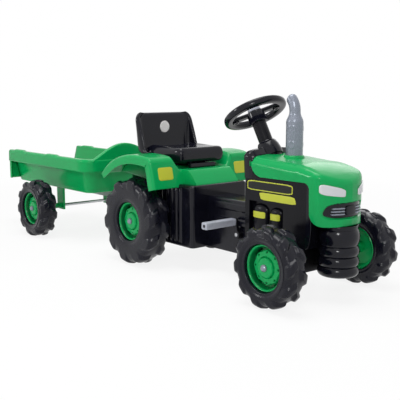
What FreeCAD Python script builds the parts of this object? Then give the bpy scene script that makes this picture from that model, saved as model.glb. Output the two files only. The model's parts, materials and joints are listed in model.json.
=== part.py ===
"""Pedal tractor for a child, with a tub trailer on a drop-in hitch.

Frame: +X points forward, +Y to the driver's left and +Z up, in millimetres. The floor is
Z = 0, the centre plane is Y = 0, and the origin lies midway between nose and trailer tail.
"""
import FreeCAD, Part
import math
import os
import Sketcher

doc = FreeCAD.newDocument("pedal_tractor")
sheet = doc.addObject("Spreadsheet::Sheet", "Sizes")
Vector = FreeCAD.Vector

# Driving sizes in millimetres, degrees where the name says angle, counts where it says count
SIZES = {
    # Where the axles and ends lie, measured along the floor from the rear axle
    "nose_reach": 790,
    "tail_reach": 985,
    "wheelbase": 659,
    "trailer_reach": 650,
    "hitch_reach": 190,
    # Tyres: blow-moulded hollow rings with block lugs
    "rear_tyre_radius": 150,
    "rear_tyre_width": 86,
    "rear_face": 226,
    "small_tyre_radius": 116,
    "small_tyre_width": 76,
    "front_face": 241,
    "trailer_face": 264,
    "tyre_wall": 4,
    "lug_height": 9,
    "lug_width": 24,
    "lug_skew": 16,
    "lug_count": 14,
    # Rims: dished discs on a hub tube
    "rim_radius": 66,
    "rim_recess": 14,
    "rim_wall": 4,
    "rim_dish": 12,
    "bead_gap": 0.15,
    "hub_radius": 15,
    "hub_inset": 6,
    "bolt_circle": 43,
    "bolt_hole_radius": 3,
    "bolt_hole_count": 8,
    "slot_inner": 51,
    "slot_outer": 57,
    "slot_half_length": 15,
    "slot_count": 4,
    # Steel rods and their running fits
    "axle_radius": 6,
    "running_gap": 0.05,
    "side_play": 0.4,
    "cap_radius": 10,
    "cap_length": 9,
    "bush_radius": 11,
    "bush_flange": 15,
    # Black lower body: seat box and tunnel, one open-bottomed moulding
    "shell_wall": 4,
    "box_half_width": 120,
    "box_front": 203,
    "box_rear": 100,
    "box_bottom": 80,
    "box_top": 282,
    "box_corner": 24,
    "box_rib": 5,
    "box_rib_pitch": 22,
    "box_rib_count": 5,
    "tunnel_half_width": 55,
    "tunnel_top": 250,
    "tunnel_rib_depth": 5,
    "tunnel_rib_height": 22,
    "tunnel_rib_top": 238,
    "tunnel_rib_step": 48,
    # Engine housing and dash
    "engine_rear": 448,
    "engine_front": 690,
    "engine_half_width": 95,
    "engine_bottom": 152,
    "engine_top": 350,
    "dash_top": 392,
    "dash_depth": 24,
    "dash_round": 18,
    "can_recess": 16,
    "can_recess_rear": 466,
    "can_recess_front": 604,
    "can_recess_bottom": 172,
    "can_recess_top": 268,
    "can_rear_radius": 32,
    "can_front_radius": 25,
    "can_gap": 8,
    "can_top": 238,
    "can_stand": 4,
    # Radiator drum under the nose
    "drum_half_width": 93,
    "drum_bottom": 74,
    "drum_top": 221.7,
    "drum_groove": 6,
    "drum_groove_height": 9,
    "drum_rib_count": 5,
    # Bonnet
    "bonnet_rear": 456,
    "bonnet_half_width": 100,
    "bonnet_top": 404,
    "bonnet_fall": 12,
    "bonnet_crown_end": 630,
    "bonnet_nose": 774,
    "bonnet_nose_corner": 722,
    "bonnet_brow": 338,
    "bonnet_chin": 222,
    "bonnet_chin_corner": 736,
    "bonnet_side_low": 341,
    "bonnet_band_top": 258,
    "bonnet_rear_round": 46,
    "bonnet_edge_round": 30,
    "bonnet_nose_round": 22,
    "grille_half_width": 82,
    "grille_bottom": 247,
    "grille_top": 293,
    "grille_round": 12,
    "grille_depth": 9,
    "grille_bar": 5,
    "grille_bar_count": 4,
    "lamp_inner": 22,
    "lamp_outer": 88,
    "lamp_bottom": 306,
    "lamp_top": 332,
    "lamp_proud": 2,
    # Exhaust stack
    "stack_reach": 556,
    "stack_radius": 25.5,
    "stack_shoulder": 506,
    "stack_neck": 522,
    "pipe_radius": 16.5,
    "pipe_wall": 3,
    "pipe_bend": 62,
    "pipe_bend_angle": 50,
    "stack_collar": 31,
    "stack_collar_height": 8,
    # Rear fender moulding
    "fender_face": 224,
    "fender_inner": 131,
    "fender_wall": 4,
    "fender_tip_reach": 157,
    "fender_tip_height": 305,
    "fender_top": 382,
    "fender_front": 141,
    "fender_front_bottom": 278,
    "fender_skirt": 30,
    "fender_corner": 26,
    "deck_height": 340,
    "deck_rear": 96,
    "apron_step": 7,
    "apron_half_width": 92,
    "apron_taper": 12,
    # Seat and its slide
    "seat_front": 135,
    "seat_rear": 78,
    "seat_half_width": 98,
    "seat_bottom": 357,
    "seat_top": 400,
    "seat_round": 14,
    "seat_dish": 12,
    "back_half_width": 118,
    "back_top": 515,
    "back_wall": 13,
    "back_wing": 34,
    "back_corner": 30,
    "rail_half_width": 34,
    "rail_height": 8,
    "rail_rear": 60,
    "rail_front": 128,
    "slider_lip": 6,
    "slide_gap": 0.35,
    # Steering
    "collar_reach": 448.64,
    "collar_seat": 420.6,
    "wheel_height": 523,
    "wheel_radius": 101,
    "wheel_grip": 10,
    "column_angle": 29.8,
    "spoke_width": 34,
    "spoke_thickness": 12,
    "spoke_boss": 11,
    "hub_top": 14,
    "wheel_hub_radius": 28,
    "column_radius": 22,
    "collar_radius": 33,
    "collar_height": 22,
    "horn_radius": 20,
    "horn_height": 12,
    "horn_travel": 3,
    "shaft_radius": 6,
    "shaft_drop": 284,
    "drop_arm": 30,
    "drop_pin_radius": 4,
    "drop_pin_length": 34,
    "arm_plate": 6,
    # Front axle, knuckles and tie rod
    "kingpin_offset": 130,
    "kingpin_radius": 5,
    "knuckle_radius": 12,
    "fork_half_height": 36,
    "fork_plate": 8,
    "beam_depth": 26,
    "beam_half_width": 104,
    "knuckle_arm": 40,
    "rod_radius": 6,
    "rod_eye_radius": 10,
    "rod_pin_radius": 4,
    "rod_slot_length": 34,
    "rod_slot_play": 1.5,
    # Pedals and chain drive
    "crank_reach": 384,
    "crank_height": 145,
    "crank_throw": 42,
    "crank_angle": 105,
    "crank_boss": 13,
    "crank_arm_plate": 10,
    "crank_arm_offset": 62,
    "pedal_length": 122,
    "pedal_height": 24,
    "pedal_depth": 28,
    "pedal_round": 6,
    "pedal_pin_radius": 5,
    "chain_plane": 28,
    "chain_gap": 0.4,
    "chain_depth": 8,
    "chain_width": 8,
    "sprocket_plate": 4,
    "sprocket_hub": 12,
    "ring_pitch_radius": 36.6,
    "ring_tooth_count": 18,
    "sprocket_pitch_radius": 24.5,
    "sprocket_tooth_count": 12,
    "tooth_tip": 2.6,
    "roller_seat": 3.6,
    # Hitch and trailer
    "hitch_height": 179,
    "hitch_half_width": 24,
    "hitch_plate": 5,
    "eye_radius": 20,
    "eye_height": 14,
    "hitch_pin_radius": 6,
    "hitch_pin_rise": 34,
    "hitch_knob_radius": 11,
    "hitch_knob_height": 12,
    "drawbar_half_width": 13,
    "drawbar_height": 26,
    "tub_front": 350,
    "tub_half_width": 164,
    "tub_floor_half_width": 130,
    "tub_floor_front": 400,
    "tub_floor": 192,
    "tub_rim": 330,
    "tub_wall": 4,
    "tub_corner": 40,
    "rim_overhang": 18,
    "rim_skirt": 46,
    "arch_top": 390,
    "arch_half_width": 124,
    "bracket_offset": 118,
    "bracket_half_length": 26,
    "bracket_plate": 8,
    "overrun": 5,
}
for row, (name, value) in enumerate(SIZES.items(), start=1):
    sheet.set(f"A{row}", name)
    sheet.set(f"B{row}", str(value))
    sheet.setAlias(f"B{row}", name)
doc.recompute()


class Length:
    """One size from the sheet, or a sum or share of sizes: its formula and its value."""

    def __init__(self, formula, value):
        self.formula = formula
        self.value = value

    def __float__(self):
        return float(self.value)

    def __add__(self, other):
        other = as_length(other)
        return Length(f"({self.formula} + {other.formula})", self.value + other.value)

    def __sub__(self, other):
        other = as_length(other)
        return Length(f"({self.formula} - {other.formula})", self.value - other.value)

    def __mul__(self, share):
        return Length(f"({self.formula} * {share})", self.value * share)

    def __truediv__(self, share):
        return Length(f"({self.formula} / {share})", self.value / share)

    def __neg__(self):
        return Length(f"(0 - {self.formula})", -self.value)


def as_length(number):
    """Zero may stand in a sum of lengths as a plain number."""
    return number if isinstance(number, Length) else Length(str(number), number)


class Sheet:
    """Reads a size of the sheet as an attribute."""

    def __getattr__(self, name):
        return Length(f"Sizes.{name}", float(sheet.get(name)))


size = Sheet()
zero = as_length(0)
finished = {}


def vector(x, y, z):
    return Vector(float(x), float(y), float(z))


def bind(piece, **properties):
    """Ties properties of a document object to formulas of the sheet."""
    for name, length in properties.items():
        piece.setExpression(name, as_length(length).formula)


def place(piece, x, y, z, axis=Vector(0, 0, 1), angle=0):
    """Turns an object about an axis and ties its base point to formulas."""
    piece.Placement = FreeCAD.Placement(vector(x, y, z), FreeCAD.Rotation(axis, angle))
    for direction, length in zip("xyz", (x, y, z)):
        piece.setExpression(f"Placement.Base.{direction}", as_length(length).formula)
    return piece


def box(label, low, high):
    """Box between two corners."""
    piece = doc.addObject("Part::Box", label)
    length, width, height = (as_length(b) - a for a, b in zip(low, high))
    bind(piece, Length=length, Width=width, Height=height)
    return place(piece, *low)


def rod(label, radius, start, length, axis="Z"):
    """Cylinder of a given length from a start point along +X, +Y or +Z."""
    turns = {"X": (Vector(0, 1, 0), 90), "Y": (Vector(1, 0, 0), -90), "Z": (Vector(0, 0, 1), 0)}
    piece = doc.addObject("Part::Cylinder", label)
    bind(piece, Radius=radius, Height=length)
    return place(piece, *start, *turns[axis])


def fuse(label, *pieces):
    piece = doc.addObject("Part::MultiFuse", label)
    piece.Shapes = list(pieces)
    return piece


def group(label, *pieces):
    """Separate solids that share one node."""
    piece = doc.addObject("Part::Compound", label)
    piece.Links = list(pieces)
    return piece


def cut(label, base, *tools):
    piece = doc.addObject("Part::Cut", label)
    piece.Base = base
    piece.Tool = tools[0] if len(tools) == 1 else fuse(f"{label}_tools", *tools)
    return piece


def solid(label, shape):
    """Free-form shape worked out from the sheet in code."""
    piece = doc.addObject("Part::Feature", label)
    piece.Shape = shape
    return piece


def finish(label, piece):
    """Names a finished sub-part: its label is its file name."""
    piece.Label = label
    finished[label] = piece
    return piece


def origin_plane(body, role):
    return next(feature for feature in body.Origin.OriginFeatures if feature.Role == role)


def outline(body, name, role, corners):
    """Closed polygon on an origin plane of a body, with every corner tied to formulas."""
    sketch = body.newObject("Sketcher::SketchObject", name)
    sketch.AttachmentSupport = [(origin_plane(body, role), "")]
    sketch.MapMode = "FlatFace"
    spots = [vector(across, along, zero) for across, along in corners]
    for start, end in zip(spots, spots[1:] + spots[:1]):
        sketch.addGeometry(Part.LineSegment(start, end))
    count = len(corners)
    for index in range(count):
        sketch.addConstraint(Sketcher.Constraint("Coincident", index, 2, (index + 1) % count, 1))
    for index, corner in enumerate(corners):
        for kind, length in zip(("DistanceX", "DistanceY"), corner):
            length = as_length(length)
            spot = Sketcher.Constraint(kind, -1, 1, index, 1, length.value)
            number = sketch.addConstraint(spot)
            sketch.setExpression(f"Constraints[{number}]", length.formula)
    return sketch


def ring_sketch(body, name, role, across, along, radius):
    """One circle on an origin plane of a body, its centre and radius tied to formulas."""
    sketch = body.newObject("Sketcher::SketchObject", name)
    sketch.AttachmentSupport = [(origin_plane(body, role), "")]
    sketch.MapMode = "FlatFace"
    circle = Part.Circle(vector(across, along, zero), Vector(0, 0, 1), float(radius))
    sketch.addGeometry(circle)
    marks = (("DistanceX", across), ("DistanceY", along))
    for kind, length in marks:
        length = as_length(length)
        number = sketch.addConstraint(Sketcher.Constraint(kind, -1, 1, 0, 3, length.value))
        sketch.setExpression(f"Constraints[{number}]", length.formula)
    number = sketch.addConstraint(Sketcher.Constraint("Radius", 0, float(radius)))
    sketch.setExpression(f"Constraints[{number}]", as_length(radius).formula)
    return sketch


def spin(body, sketch):
    """Full turn of a profile about the body's Y axis."""
    turned = body.newObject("PartDesign::Revolution", f"{sketch.Name}_turn")
    turned.Profile = sketch
    turned.ReferenceAxis = (sketch, ["V_Axis"])
    turned.Angle = 360
    return turned


def turn_off(body, sketch):
    """Full-turn cut of a profile about the body's Y axis."""
    groove = body.newObject("PartDesign::Groove", f"{sketch.Name}_turn")
    groove.Profile = sketch
    groove.ReferenceAxis = (sketch, ["V_Axis"])
    groove.Angle = 360
    return groove


def pierce(body, sketch, length):
    """Cut through both sides of the sketch plane."""
    hole = body.newObject("PartDesign::Pocket", f"{sketch.Name}_cut")
    hole.Profile = sketch
    hole.Midplane = True
    hole.setExpression("Length", as_length(length).formula)
    return hole


def repeat(body, features, count):
    """Copies of features evenly about the body's Y axis."""
    copies = body.newObject("PartDesign::PolarPattern", f"{features[0].Name}_ring")
    copies.Originals = features
    copies.Axis = (origin_plane(body, "Y_Axis"), [""])
    copies.Angle = 360
    copies.setExpression("Occurrences", count.formula)
    body.Tip = copies
    return copies


# Places of the main axes along X
rear_axle = (size.tail_reach - size.nose_reach) / 2
front_axle = rear_axle + size.wheelbase
trailer_axle = rear_axle - size.trailer_reach
hitch = rear_axle - size.hitch_reach
crank = rear_axle + size.crank_reach
sides = {"left": 1, "right": -1}


def sided(length, side):
    """A length measured from the centre plane towards one side."""
    return length if side > 0 else -length


def forward(reach):
    """Place along X of a point measured forward from the rear axle."""
    return rear_axle + reach


# Wheels
def tyre(label, radius, width, side, x, face, z):
    """Hollow ring, open towards the rim, with two staggered rows of skewed block lugs."""
    body = doc.addObject("PartDesign::Body", label)
    half = width / 2
    crown = radius - size.lug_height
    bead = size.rim_radius
    wall = size.tyre_wall
    lip = half - size.rim_recess
    shoulder = crown - size.lug_height
    belt = half * crown_share
    outer = [(bead, lip), (bead + wall, half), (shoulder, half), (crown, belt)]
    inner = [(crown - wall, belt - wall), (shoulder - wall, half - wall),
             (bead + wall * 2, half - wall), (bead + wall, lip - wall), (bead, lip - wall)]
    right_half = outer + [(r, -a) for r, a in reversed(outer)]
    back_half = [(r, -a) for r, a in reversed(inner)] + inner
    profile = outline(body, f"{label}_profile", "XY_Plane", right_half + back_half)
    spin(body, profile)
    lugs = []
    step = 180 / float(size.lug_count)
    for hand, turn in ((1, 0), (-1, step)):
        near = half * lug_start_share * hand
        far = half * hand
        lean = size.lug_skew
        base = crown - size.tyre_wall / 2
        corners = [(-size.lug_width / 2, near), (size.lug_width / 2, near),
                   (size.lug_width / 2 + lean * lug_lean_share, far),
                   (-size.lug_width / 2 + lean, far)]
        sketch = outline(body, f"{label}_lug_{turn:.0f}", "XY_Plane", corners)
        lift = FreeCAD.Rotation(Vector(0, 1, 0), turn).multVec(vector(zero, zero, base))
        sketch.AttachmentOffset = FreeCAD.Placement(lift, FreeCAD.Rotation(Vector(0, 1, 0), turn))
        pad = body.newObject("PartDesign::Pad", f"{sketch.Name}_block")
        pad.Profile = sketch
        pad.setExpression("Length", (radius - base).formula)
        lugs.append(pad)
    repeat(body, lugs, size.lug_count)
    spare = radius + size.lug_height
    trim = outline(body, f"{label}_trim", "XY_Plane",
                   [(radius, -width), (spare, -width), (spare, width), (radius, width)])
    turn_off(body, trim)
    place(body, x, sided(face - half, side), z, Vector(0, 0, 1), 0 if side > 0 else 180)
    return finish(label, body)


def rim(label, width, side, x, face, z):
    """Dished disc with a hub tube, a ring of bolt holes and four crescent slots."""
    body = doc.addObject("PartDesign::Body", label)
    edge = width / 2 - size.rim_recess
    outer = size.rim_radius - size.bead_gap
    inner = outer - size.rim_wall
    bore = size.axle_radius + size.running_gap
    web_out = edge - size.rim_dish
    web_in = web_out - size.rim_wall
    hub_out = edge - size.rim_wall
    hub_in = size.hub_inset - width / 2
    corners = [(bore, hub_out), (size.hub_radius, hub_out), (size.hub_radius, web_out),
               (inner, web_out), (inner, edge), (outer, edge), (outer, -edge), (inner, -edge),
               (inner, web_in), (size.hub_radius, web_in), (size.hub_radius, hub_in), (bore, hub_in)]
    spin(body, outline(body, f"{label}_profile", "XY_Plane", corners))
    bolt = ring_sketch(body, f"{label}_bolt", "XZ_Plane", size.bolt_circle, zero, size.bolt_hole_radius)
    repeat(body, [pierce(body, bolt, width)], size.bolt_hole_count)
    low, high, reach = size.slot_inner, size.slot_outer, size.slot_half_length
    slot = outline(body, f"{label}_slot", "XZ_Plane",
                   [(low, -reach * slot_waist_share), (high, -reach * slot_waist_share),
                    (high, reach * slot_waist_share), (low, reach * slot_waist_share)])
    repeat(body, [pierce(body, slot, width)], size.slot_count)
    place(body, x, sided(face - width / 2, side), z, Vector(0, 0, 1), 0 if side > 0 else 180)
    return finish(label, body)


def axle_cap(label, side, face, x, z, gap):
    """Domed push-on cap against the outer end of a hub."""
    body = doc.addObject("PartDesign::Body", label)
    radius, length = size.cap_radius, size.cap_length
    corners = [(zero, zero), (radius, zero), (radius, length * cap_side_share),
               (radius * cap_top_share, length), (zero, length)]
    spin(body, outline(body, f"{label}_profile", "XY_Plane", corners))
    seat = face - size.rim_recess - size.rim_wall + gap
    return place(body, x, sided(seat, side), z, Vector(0, 0, 1), 0 if side > 0 else 180)


crown_share = 0.62
lug_start_share = -0.08
lug_lean_share = 0.8
slot_waist_share = 0.8
cap_side_share = 0.55
cap_top_share = 0.6

for name, side in sides.items():
    tyre(f"rear_tyre_{name}", size.rear_tyre_radius, size.rear_tyre_width, side,
         rear_axle, size.rear_face, size.rear_tyre_radius)
    rim(f"rear_rim_{name}", size.rear_tyre_width, side, rear_axle, size.rear_face,
        size.rear_tyre_radius)
    for group_name, x, face in (("front", front_axle, size.front_face),
                                ("trailer", trailer_axle, size.trailer_face)):
        tyre(f"{group_name}_tyre_{name}", size.small_tyre_radius, size.small_tyre_width, side,
             x, face, size.small_tyre_radius)
        rim(f"{group_name}_rim_{name}", size.small_tyre_width, side, x, face,
            size.small_tyre_radius)


# Rear axle with its bushes, sprocket and caps
rear_hub_in = size.rear_face - size.rear_tyre_width + size.hub_inset
axle_reach = size.rear_face - size.rim_recess - size.rim_wall
finish("rear_axle", rod("rear_axle_rod", size.axle_radius,
                        (rear_axle, -axle_reach, size.rear_tyre_radius), axle_reach * 2, "Y"))


def bush(label, side, wall_face, x, z, reach):
    """Flanged plastic bush: a sleeve through the wall and a long collar outside it."""
    start = wall_face - size.shell_wall
    sleeve = rod(f"{label}_sleeve", size.bush_radius, (x, start, z), size.shell_wall, "Y")
    collar = rod(f"{label}_collar", size.bush_flange, (x, wall_face, z), reach - wall_face, "Y")
    bore = rod(f"{label}_bore", size.axle_radius + size.running_gap,
               (x, start - size.overrun, z), reach - start + size.overrun * 2, "Y")
    if side < 0:
        for piece, place_y in ((sleeve, start), (collar, wall_face), (bore, start - size.overrun)):
            place(piece, x, -place_y, z, Vector(1, 0, 0), 90)
    return cut(label, fuse(f"{label}_form", sleeve, collar), bore)


finish("rear_axle_bushes", group("rear_bushes", *(
    bush(f"rear_bush_{name}", side, size.box_half_width, rear_axle, size.rear_tyre_radius,
         rear_hub_in - size.side_play) for name, side in sides.items())))
finish("rear_axle_caps", group("rear_caps", *(
    axle_cap(f"rear_cap_{name}", side, size.rear_face, rear_axle,
             size.rear_tyre_radius, zero) for name, side in sides.items())))


def sprocket(label, pitch_radius, tooth_count, x, z):
    """Toothed plate: a disc with a roller seat cut between each pair of teeth, on a hub."""
    body = doc.addObject("PartDesign::Body", label)
    bore = size.axle_radius + size.running_gap
    half = size.sprocket_plate / 2
    tip = pitch_radius + size.tooth_tip
    hub = size.axle_radius + size.hub_inset
    corners = [(bore, size.sprocket_hub / 2), (hub, size.sprocket_hub / 2), (hub, half), (tip, half),
               (tip, -half), (hub, -half), (hub, -size.sprocket_hub / 2), (bore, -size.sprocket_hub / 2)]
    spin(body, outline(body, f"{label}_profile", "XY_Plane", corners))
    seat = ring_sketch(body, f"{label}_seat", "XZ_Plane", pitch_radius, zero, size.roller_seat)
    repeat(body, [pierce(body, seat, size.sprocket_hub)], tooth_count)
    place(body, x, size.chain_plane, z)
    return finish(label, body)


sprocket("rear_sprocket", size.sprocket_pitch_radius, size.sprocket_tooth_count,
         rear_axle, size.rear_tyre_radius)
sprocket("chainring", size.ring_pitch_radius, size.ring_tooth_count, crank, size.crank_height)


# Drive chain, one closed loop that lies round both sprockets clear of the tooth tips
def loop_face(gap):
    """Face inside a tangent loop round the two sprockets, a gap outside their pitch circles."""
    big, small = float(size.ring_pitch_radius) + gap, float(size.sprocket_pitch_radius) + gap
    front = vector(crank, zero, size.crank_height)
    rear = vector(rear_axle, zero, size.rear_tyre_radius)
    along = front - rear
    lean = math.acos((big - small) / along.Length)
    heading = math.atan2(along.z, along.x)

    def rim_point(centre, radius, angle):
        return centre + Vector(radius * math.cos(angle), 0, radius * math.sin(angle))

    top_front, low_front = (rim_point(front, big, heading + turn) for turn in (lean, -lean))
    top_rear, low_rear = (rim_point(rear, small, heading + turn) for turn in (lean, -lean))
    nose = rim_point(front, big, heading)
    tail = rim_point(rear, small, heading + math.pi)
    edges = [Part.LineSegment(top_rear, top_front).toShape(),
             Part.Arc(top_front, nose, low_front).toShape(),
             Part.LineSegment(low_front, low_rear).toShape(),
             Part.Arc(low_rear, tail, top_rear).toShape()]
    return Part.Face(Part.Wire(edges))


clear_of_teeth = float(size.tooth_tip + size.chain_gap)
chain_band = loop_face(clear_of_teeth + float(size.chain_depth)).cut(loop_face(clear_of_teeth))
chain_shape = chain_band.extrude(vector(zero, size.chain_width, zero))
chain_shape.translate(vector(zero, size.chain_plane - size.chain_width / 2, zero))
finish("drive_chain", solid("chain_loop", chain_shape))

# Crank axle, arms and pedals
crank_reach_y = size.crank_arm_offset + size.crank_arm_plate
finish("crank_axle", rod("crank_rod", size.axle_radius, (crank, -crank_reach_y, size.crank_height),
                         crank_reach_y * 2, "Y"))
finish("crank_bushes", group("crank_bush_pair", *(
    bush(f"crank_bush_{name}", side, size.tunnel_half_width, crank, size.crank_height,
         size.crank_arm_offset - size.side_play) for name, side in sides.items())))


def crank_arm(label, side):
    """Cranked arm: two bosses joined by a web, with the pedal pin standing outwards."""
    throw = size.crank_throw
    plate = size.crank_arm_plate
    thick = size.crank_boss * 2 * arm_waist_share
    hub = rod(f"{label}_hub", size.crank_boss, (zero, zero, zero), plate, "Y")
    tip = rod(f"{label}_tip", size.crank_boss * arm_tip_share, (throw, zero, zero), plate, "Y")
    web = box(f"{label}_web", (zero, zero, -thick / 2), (throw, plate, thick / 2))
    pin = rod(f"{label}_pin", size.pedal_pin_radius, (throw, zero, zero),
              plate + size.pedal_length + size.side_play * 2, "Y")
    bore = rod(f"{label}_bore", size.axle_radius + size.running_gap, (zero, -size.overrun, zero),
               plate + size.overrun * 2, "Y")
    arm = cut(f"{label}_bored", fuse(f"{label}_form", hub, tip, web, pin), bore)
    angle = float(size.crank_angle)
    if side > 0:
        place(arm, crank, size.crank_arm_offset, size.crank_height, Vector(0, 1, 0), 180 - angle)
    else:
        arm.Placement = FreeCAD.Placement(
            vector(crank, -size.crank_arm_offset, size.crank_height),
            FreeCAD.Rotation(Vector(0, 1, 0), -angle).multiply(FreeCAD.Rotation(Vector(1, 0, 0), 180)))
        place_base(arm, crank, -size.crank_arm_offset, size.crank_height)
    return finish(label, arm)


def place_base(piece, x, y, z):
    """Ties only the base point of an object that is already turned."""
    for direction, length in zip("xyz", (x, y, z)):
        piece.setExpression(f"Placement.Base.{direction}", as_length(length).formula)


arm_waist_share = 0.62
arm_tip_share = 0.8
relief_share = 1.5


def pedal(label, side):
    """Moulded bar with rounded long edges and a bore along it for the pedal pin."""
    body = doc.addObject("PartDesign::Body", label)
    deep, high, ease = size.pedal_depth / 2, size.pedal_height / 2, size.pedal_round
    corners = [(-deep, ease - high), (ease - deep, -high), (deep - ease, -high), (deep, ease - high),
               (deep, high - ease), (deep - ease, high), (ease - deep, high), (-deep, high - ease)]
    sketch = outline(body, f"{label}_profile", "XZ_Plane", corners)
    bar = body.newObject("PartDesign::Pad", f"{label}_bar")
    bar.Profile = sketch
    bar.Midplane = True
    bar.setExpression("Length", size.pedal_length.formula)
    bore = ring_sketch(body, f"{label}_bore", "XZ_Plane", zero, zero,
                       size.pedal_pin_radius + size.running_gap)
    pierce(body, bore, size.pedal_length * 2)
    angle = math.radians(float(size.crank_angle))
    out = crank_reach_y + size.side_play + size.pedal_length / 2
    place(body, crank + size.crank_throw * (math.cos(angle) * -side),
          sided(out, side), size.crank_height - size.crank_throw * (math.sin(angle) * side))
    return finish(label, body)


for name, side in sides.items():
    crank_arm(f"crank_arm_{name}", side)
    pedal(f"pedal_{name}", side)


def pad(body, sketch, length, both=False):
    """Extrusion of a sketch, to one side or evenly to both."""
    block = body.newObject("PartDesign::Pad", f"{sketch.Name}_pad")
    block.Profile = sketch
    block.Midplane = both
    block.setExpression("Length", as_length(length).formula)
    return block


def hollow(body, sketch, length):
    """Cut upwards from a sketch that lies on the underside."""
    space = body.newObject("PartDesign::Pocket", f"{sketch.Name}_space")
    space.Profile = sketch
    space.Reversed = True
    space.setExpression("Length", as_length(length).formula)
    return space


def lifted(sketch, height):
    """Raises a sketch above its plane."""
    sketch.setExpression("AttachmentOffset.Base.z", as_length(height).formula)
    return sketch


def rectangle(low_x, low_y, high_x, high_y):
    return [(low_x, low_y), (high_x, low_y), (high_x, high_y), (low_x, high_y)]


def fillet(body, base, radius, chosen):
    """Rounds the edges of a feature whose middle points pass a test."""
    doc.recompute()
    names = [f"Edge{number}" for number, edge in enumerate(base.Shape.Edges, start=1)
             if chosen(edge.CenterOfMass, edge)]
    rounded = body.newObject("PartDesign::Fillet", f"{base.Name}_round")
    rounded.Base = (base, names)
    rounded.setExpression("Radius", radius.formula)
    return rounded


def runs_along(edge, direction):
    """True for a straight edge parallel to a direction."""
    line = edge.Vertexes[-1].Point - edge.Vertexes[0].Point
    return line.Length > 0 and abs(line.normalize().dot(direction)) > straight_share


straight_share = 0.999

# Lower body: seat box with corrugated sides and the tunnel forward of it, open underneath
lower = doc.addObject("PartDesign::Body", "lower_body")
box_low, box_high = forward(-size.box_rear), forward(size.box_front)
tunnel_end = forward(size.engine_rear)
half, wall, floor = size.box_half_width, size.shell_wall, size.box_bottom
seat_box = pad(lower, lifted(outline(lower, "seat_box", "XY_Plane",
               rectangle(box_low, -half, box_high, half)), floor), size.box_top - floor)
fillet(lower, seat_box, size.box_corner,
       lambda middle, edge: runs_along(edge, Vector(0, 0, 1)) and middle.x > float(rear_axle))
rib_reach = half + size.box_rib
rib_start = box_high - size.box_corner - size.box_rib_pitch
rib = pad(lower, lifted(outline(lower, "box_rib", "XY_Plane",
          rectangle(rib_start, -rib_reach, rib_start + size.box_rib_pitch / 2, rib_reach)), floor),
          size.box_top - floor - size.box_rib_pitch)
ribs = lower.newObject("PartDesign::LinearPattern", "box_ribs")
ribs.Originals = [rib]
ribs.Direction = (origin_plane(lower, "X_Axis"), [""])
ribs.Reversed = True
ribs.setExpression("Length", size.box_rib_pitch.formula + " * (Sizes.box_rib_count - 1)")
ribs.setExpression("Occurrences", size.box_rib_count.formula)
lower.Tip = ribs
half = size.tunnel_half_width
tunnel_start = box_high - size.box_corner
pad(lower, lifted(outline(lower, "tunnel", "XY_Plane",
    rectangle(tunnel_start, -half, tunnel_end, half)), floor), size.tunnel_top - floor)
rail_reach = half + size.tunnel_rib_depth
for number in range(2):
    top = size.tunnel_rib_top - size.tunnel_rib_step * number
    pad(lower, outline(lower, f"tunnel_rib_{number}", "XZ_Plane",
        rectangle(tunnel_start, top - size.tunnel_rib_height, tunnel_end, top)), rail_reach * 2, True)
half = size.box_half_width - wall
hollow(lower, lifted(outline(lower, "box_space", "XY_Plane",
       rectangle(box_low + wall, -half, box_high - wall, half)), floor), size.box_top - floor - wall)
half = size.tunnel_half_width - wall
hollow(lower, lifted(outline(lower, "tunnel_space", "XY_Plane",
       rectangle(tunnel_start - wall, -half, tunnel_end - wall, half)), floor),
       size.tunnel_top - floor - wall)
hole = size.bush_radius + size.bead_gap
pierce(lower, ring_sketch(lower, "axle_hole", "XZ_Plane", rear_axle, size.rear_tyre_radius, hole),
       size.box_half_width * 2 + size.box_rib * 4)
pierce(lower, ring_sketch(lower, "crank_hole", "XZ_Plane", crank, size.crank_height, hole),
       rail_reach * 2 + size.box_rib)
finish("lower_body", lower)

# Column line: from the collar on the dash up and back to the steering wheel, and down to the front axle
can_dome_share = 0.7
tilt = float(size.column_angle)
along = Vector(-math.sin(math.radians(tilt)), 0, math.cos(math.radians(tilt)))
column_length = (size.wheel_height - size.collar_seat) / along.z
shaft_length = column_length + size.shaft_drop
column_top = (forward(size.collar_reach) + column_length * along.x, zero, size.wheel_height)


def on_column(piece):
    """Turns a piece made about its own Z axis to stand on the steering column."""
    return place(piece, *column_top, Vector(0, 1, 0), -tilt)


# Engine housing: open-bottomed box with a dash at its back and two filter cans a side
engine = doc.addObject("PartDesign::Body", "engine_block")
rear_face, front_face = forward(size.engine_rear), forward(size.engine_front)
low, high, dash = size.engine_bottom, size.engine_top, size.dash_top
dash_front = rear_face + size.dash_depth
block = pad(engine, outline(engine, "engine_side", "XZ_Plane",
            [(rear_face, low), (front_face, low), (front_face, high), (dash_front, high),
             (dash_front, dash), (rear_face, dash)]), size.engine_half_width * 2, True)
fillet(engine, block, size.dash_round,
       lambda middle, edge: runs_along(edge, Vector(1, 0, 0))
       and middle.z > float(size.engine_top + size.overrun))
wide, narrow = size.engine_half_width - wall, size.engine_half_width - size.can_recess - wall
step_rear, step_front = forward(size.can_recess_rear) - wall, forward(size.can_recess_front) + wall
inner_rear, inner_front = rear_face + wall, front_face - wall
half_space = [(inner_rear, wide), (step_rear, wide), (step_rear, narrow), (step_front, narrow),
              (step_front, wide), (inner_front, wide)]
hollow(engine, lifted(outline(engine, "engine_space", "XY_Plane",
       half_space + [(x, -y) for x, y in reversed(half_space)]), low), high - low - wall)
recesses = []
cans = []
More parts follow.
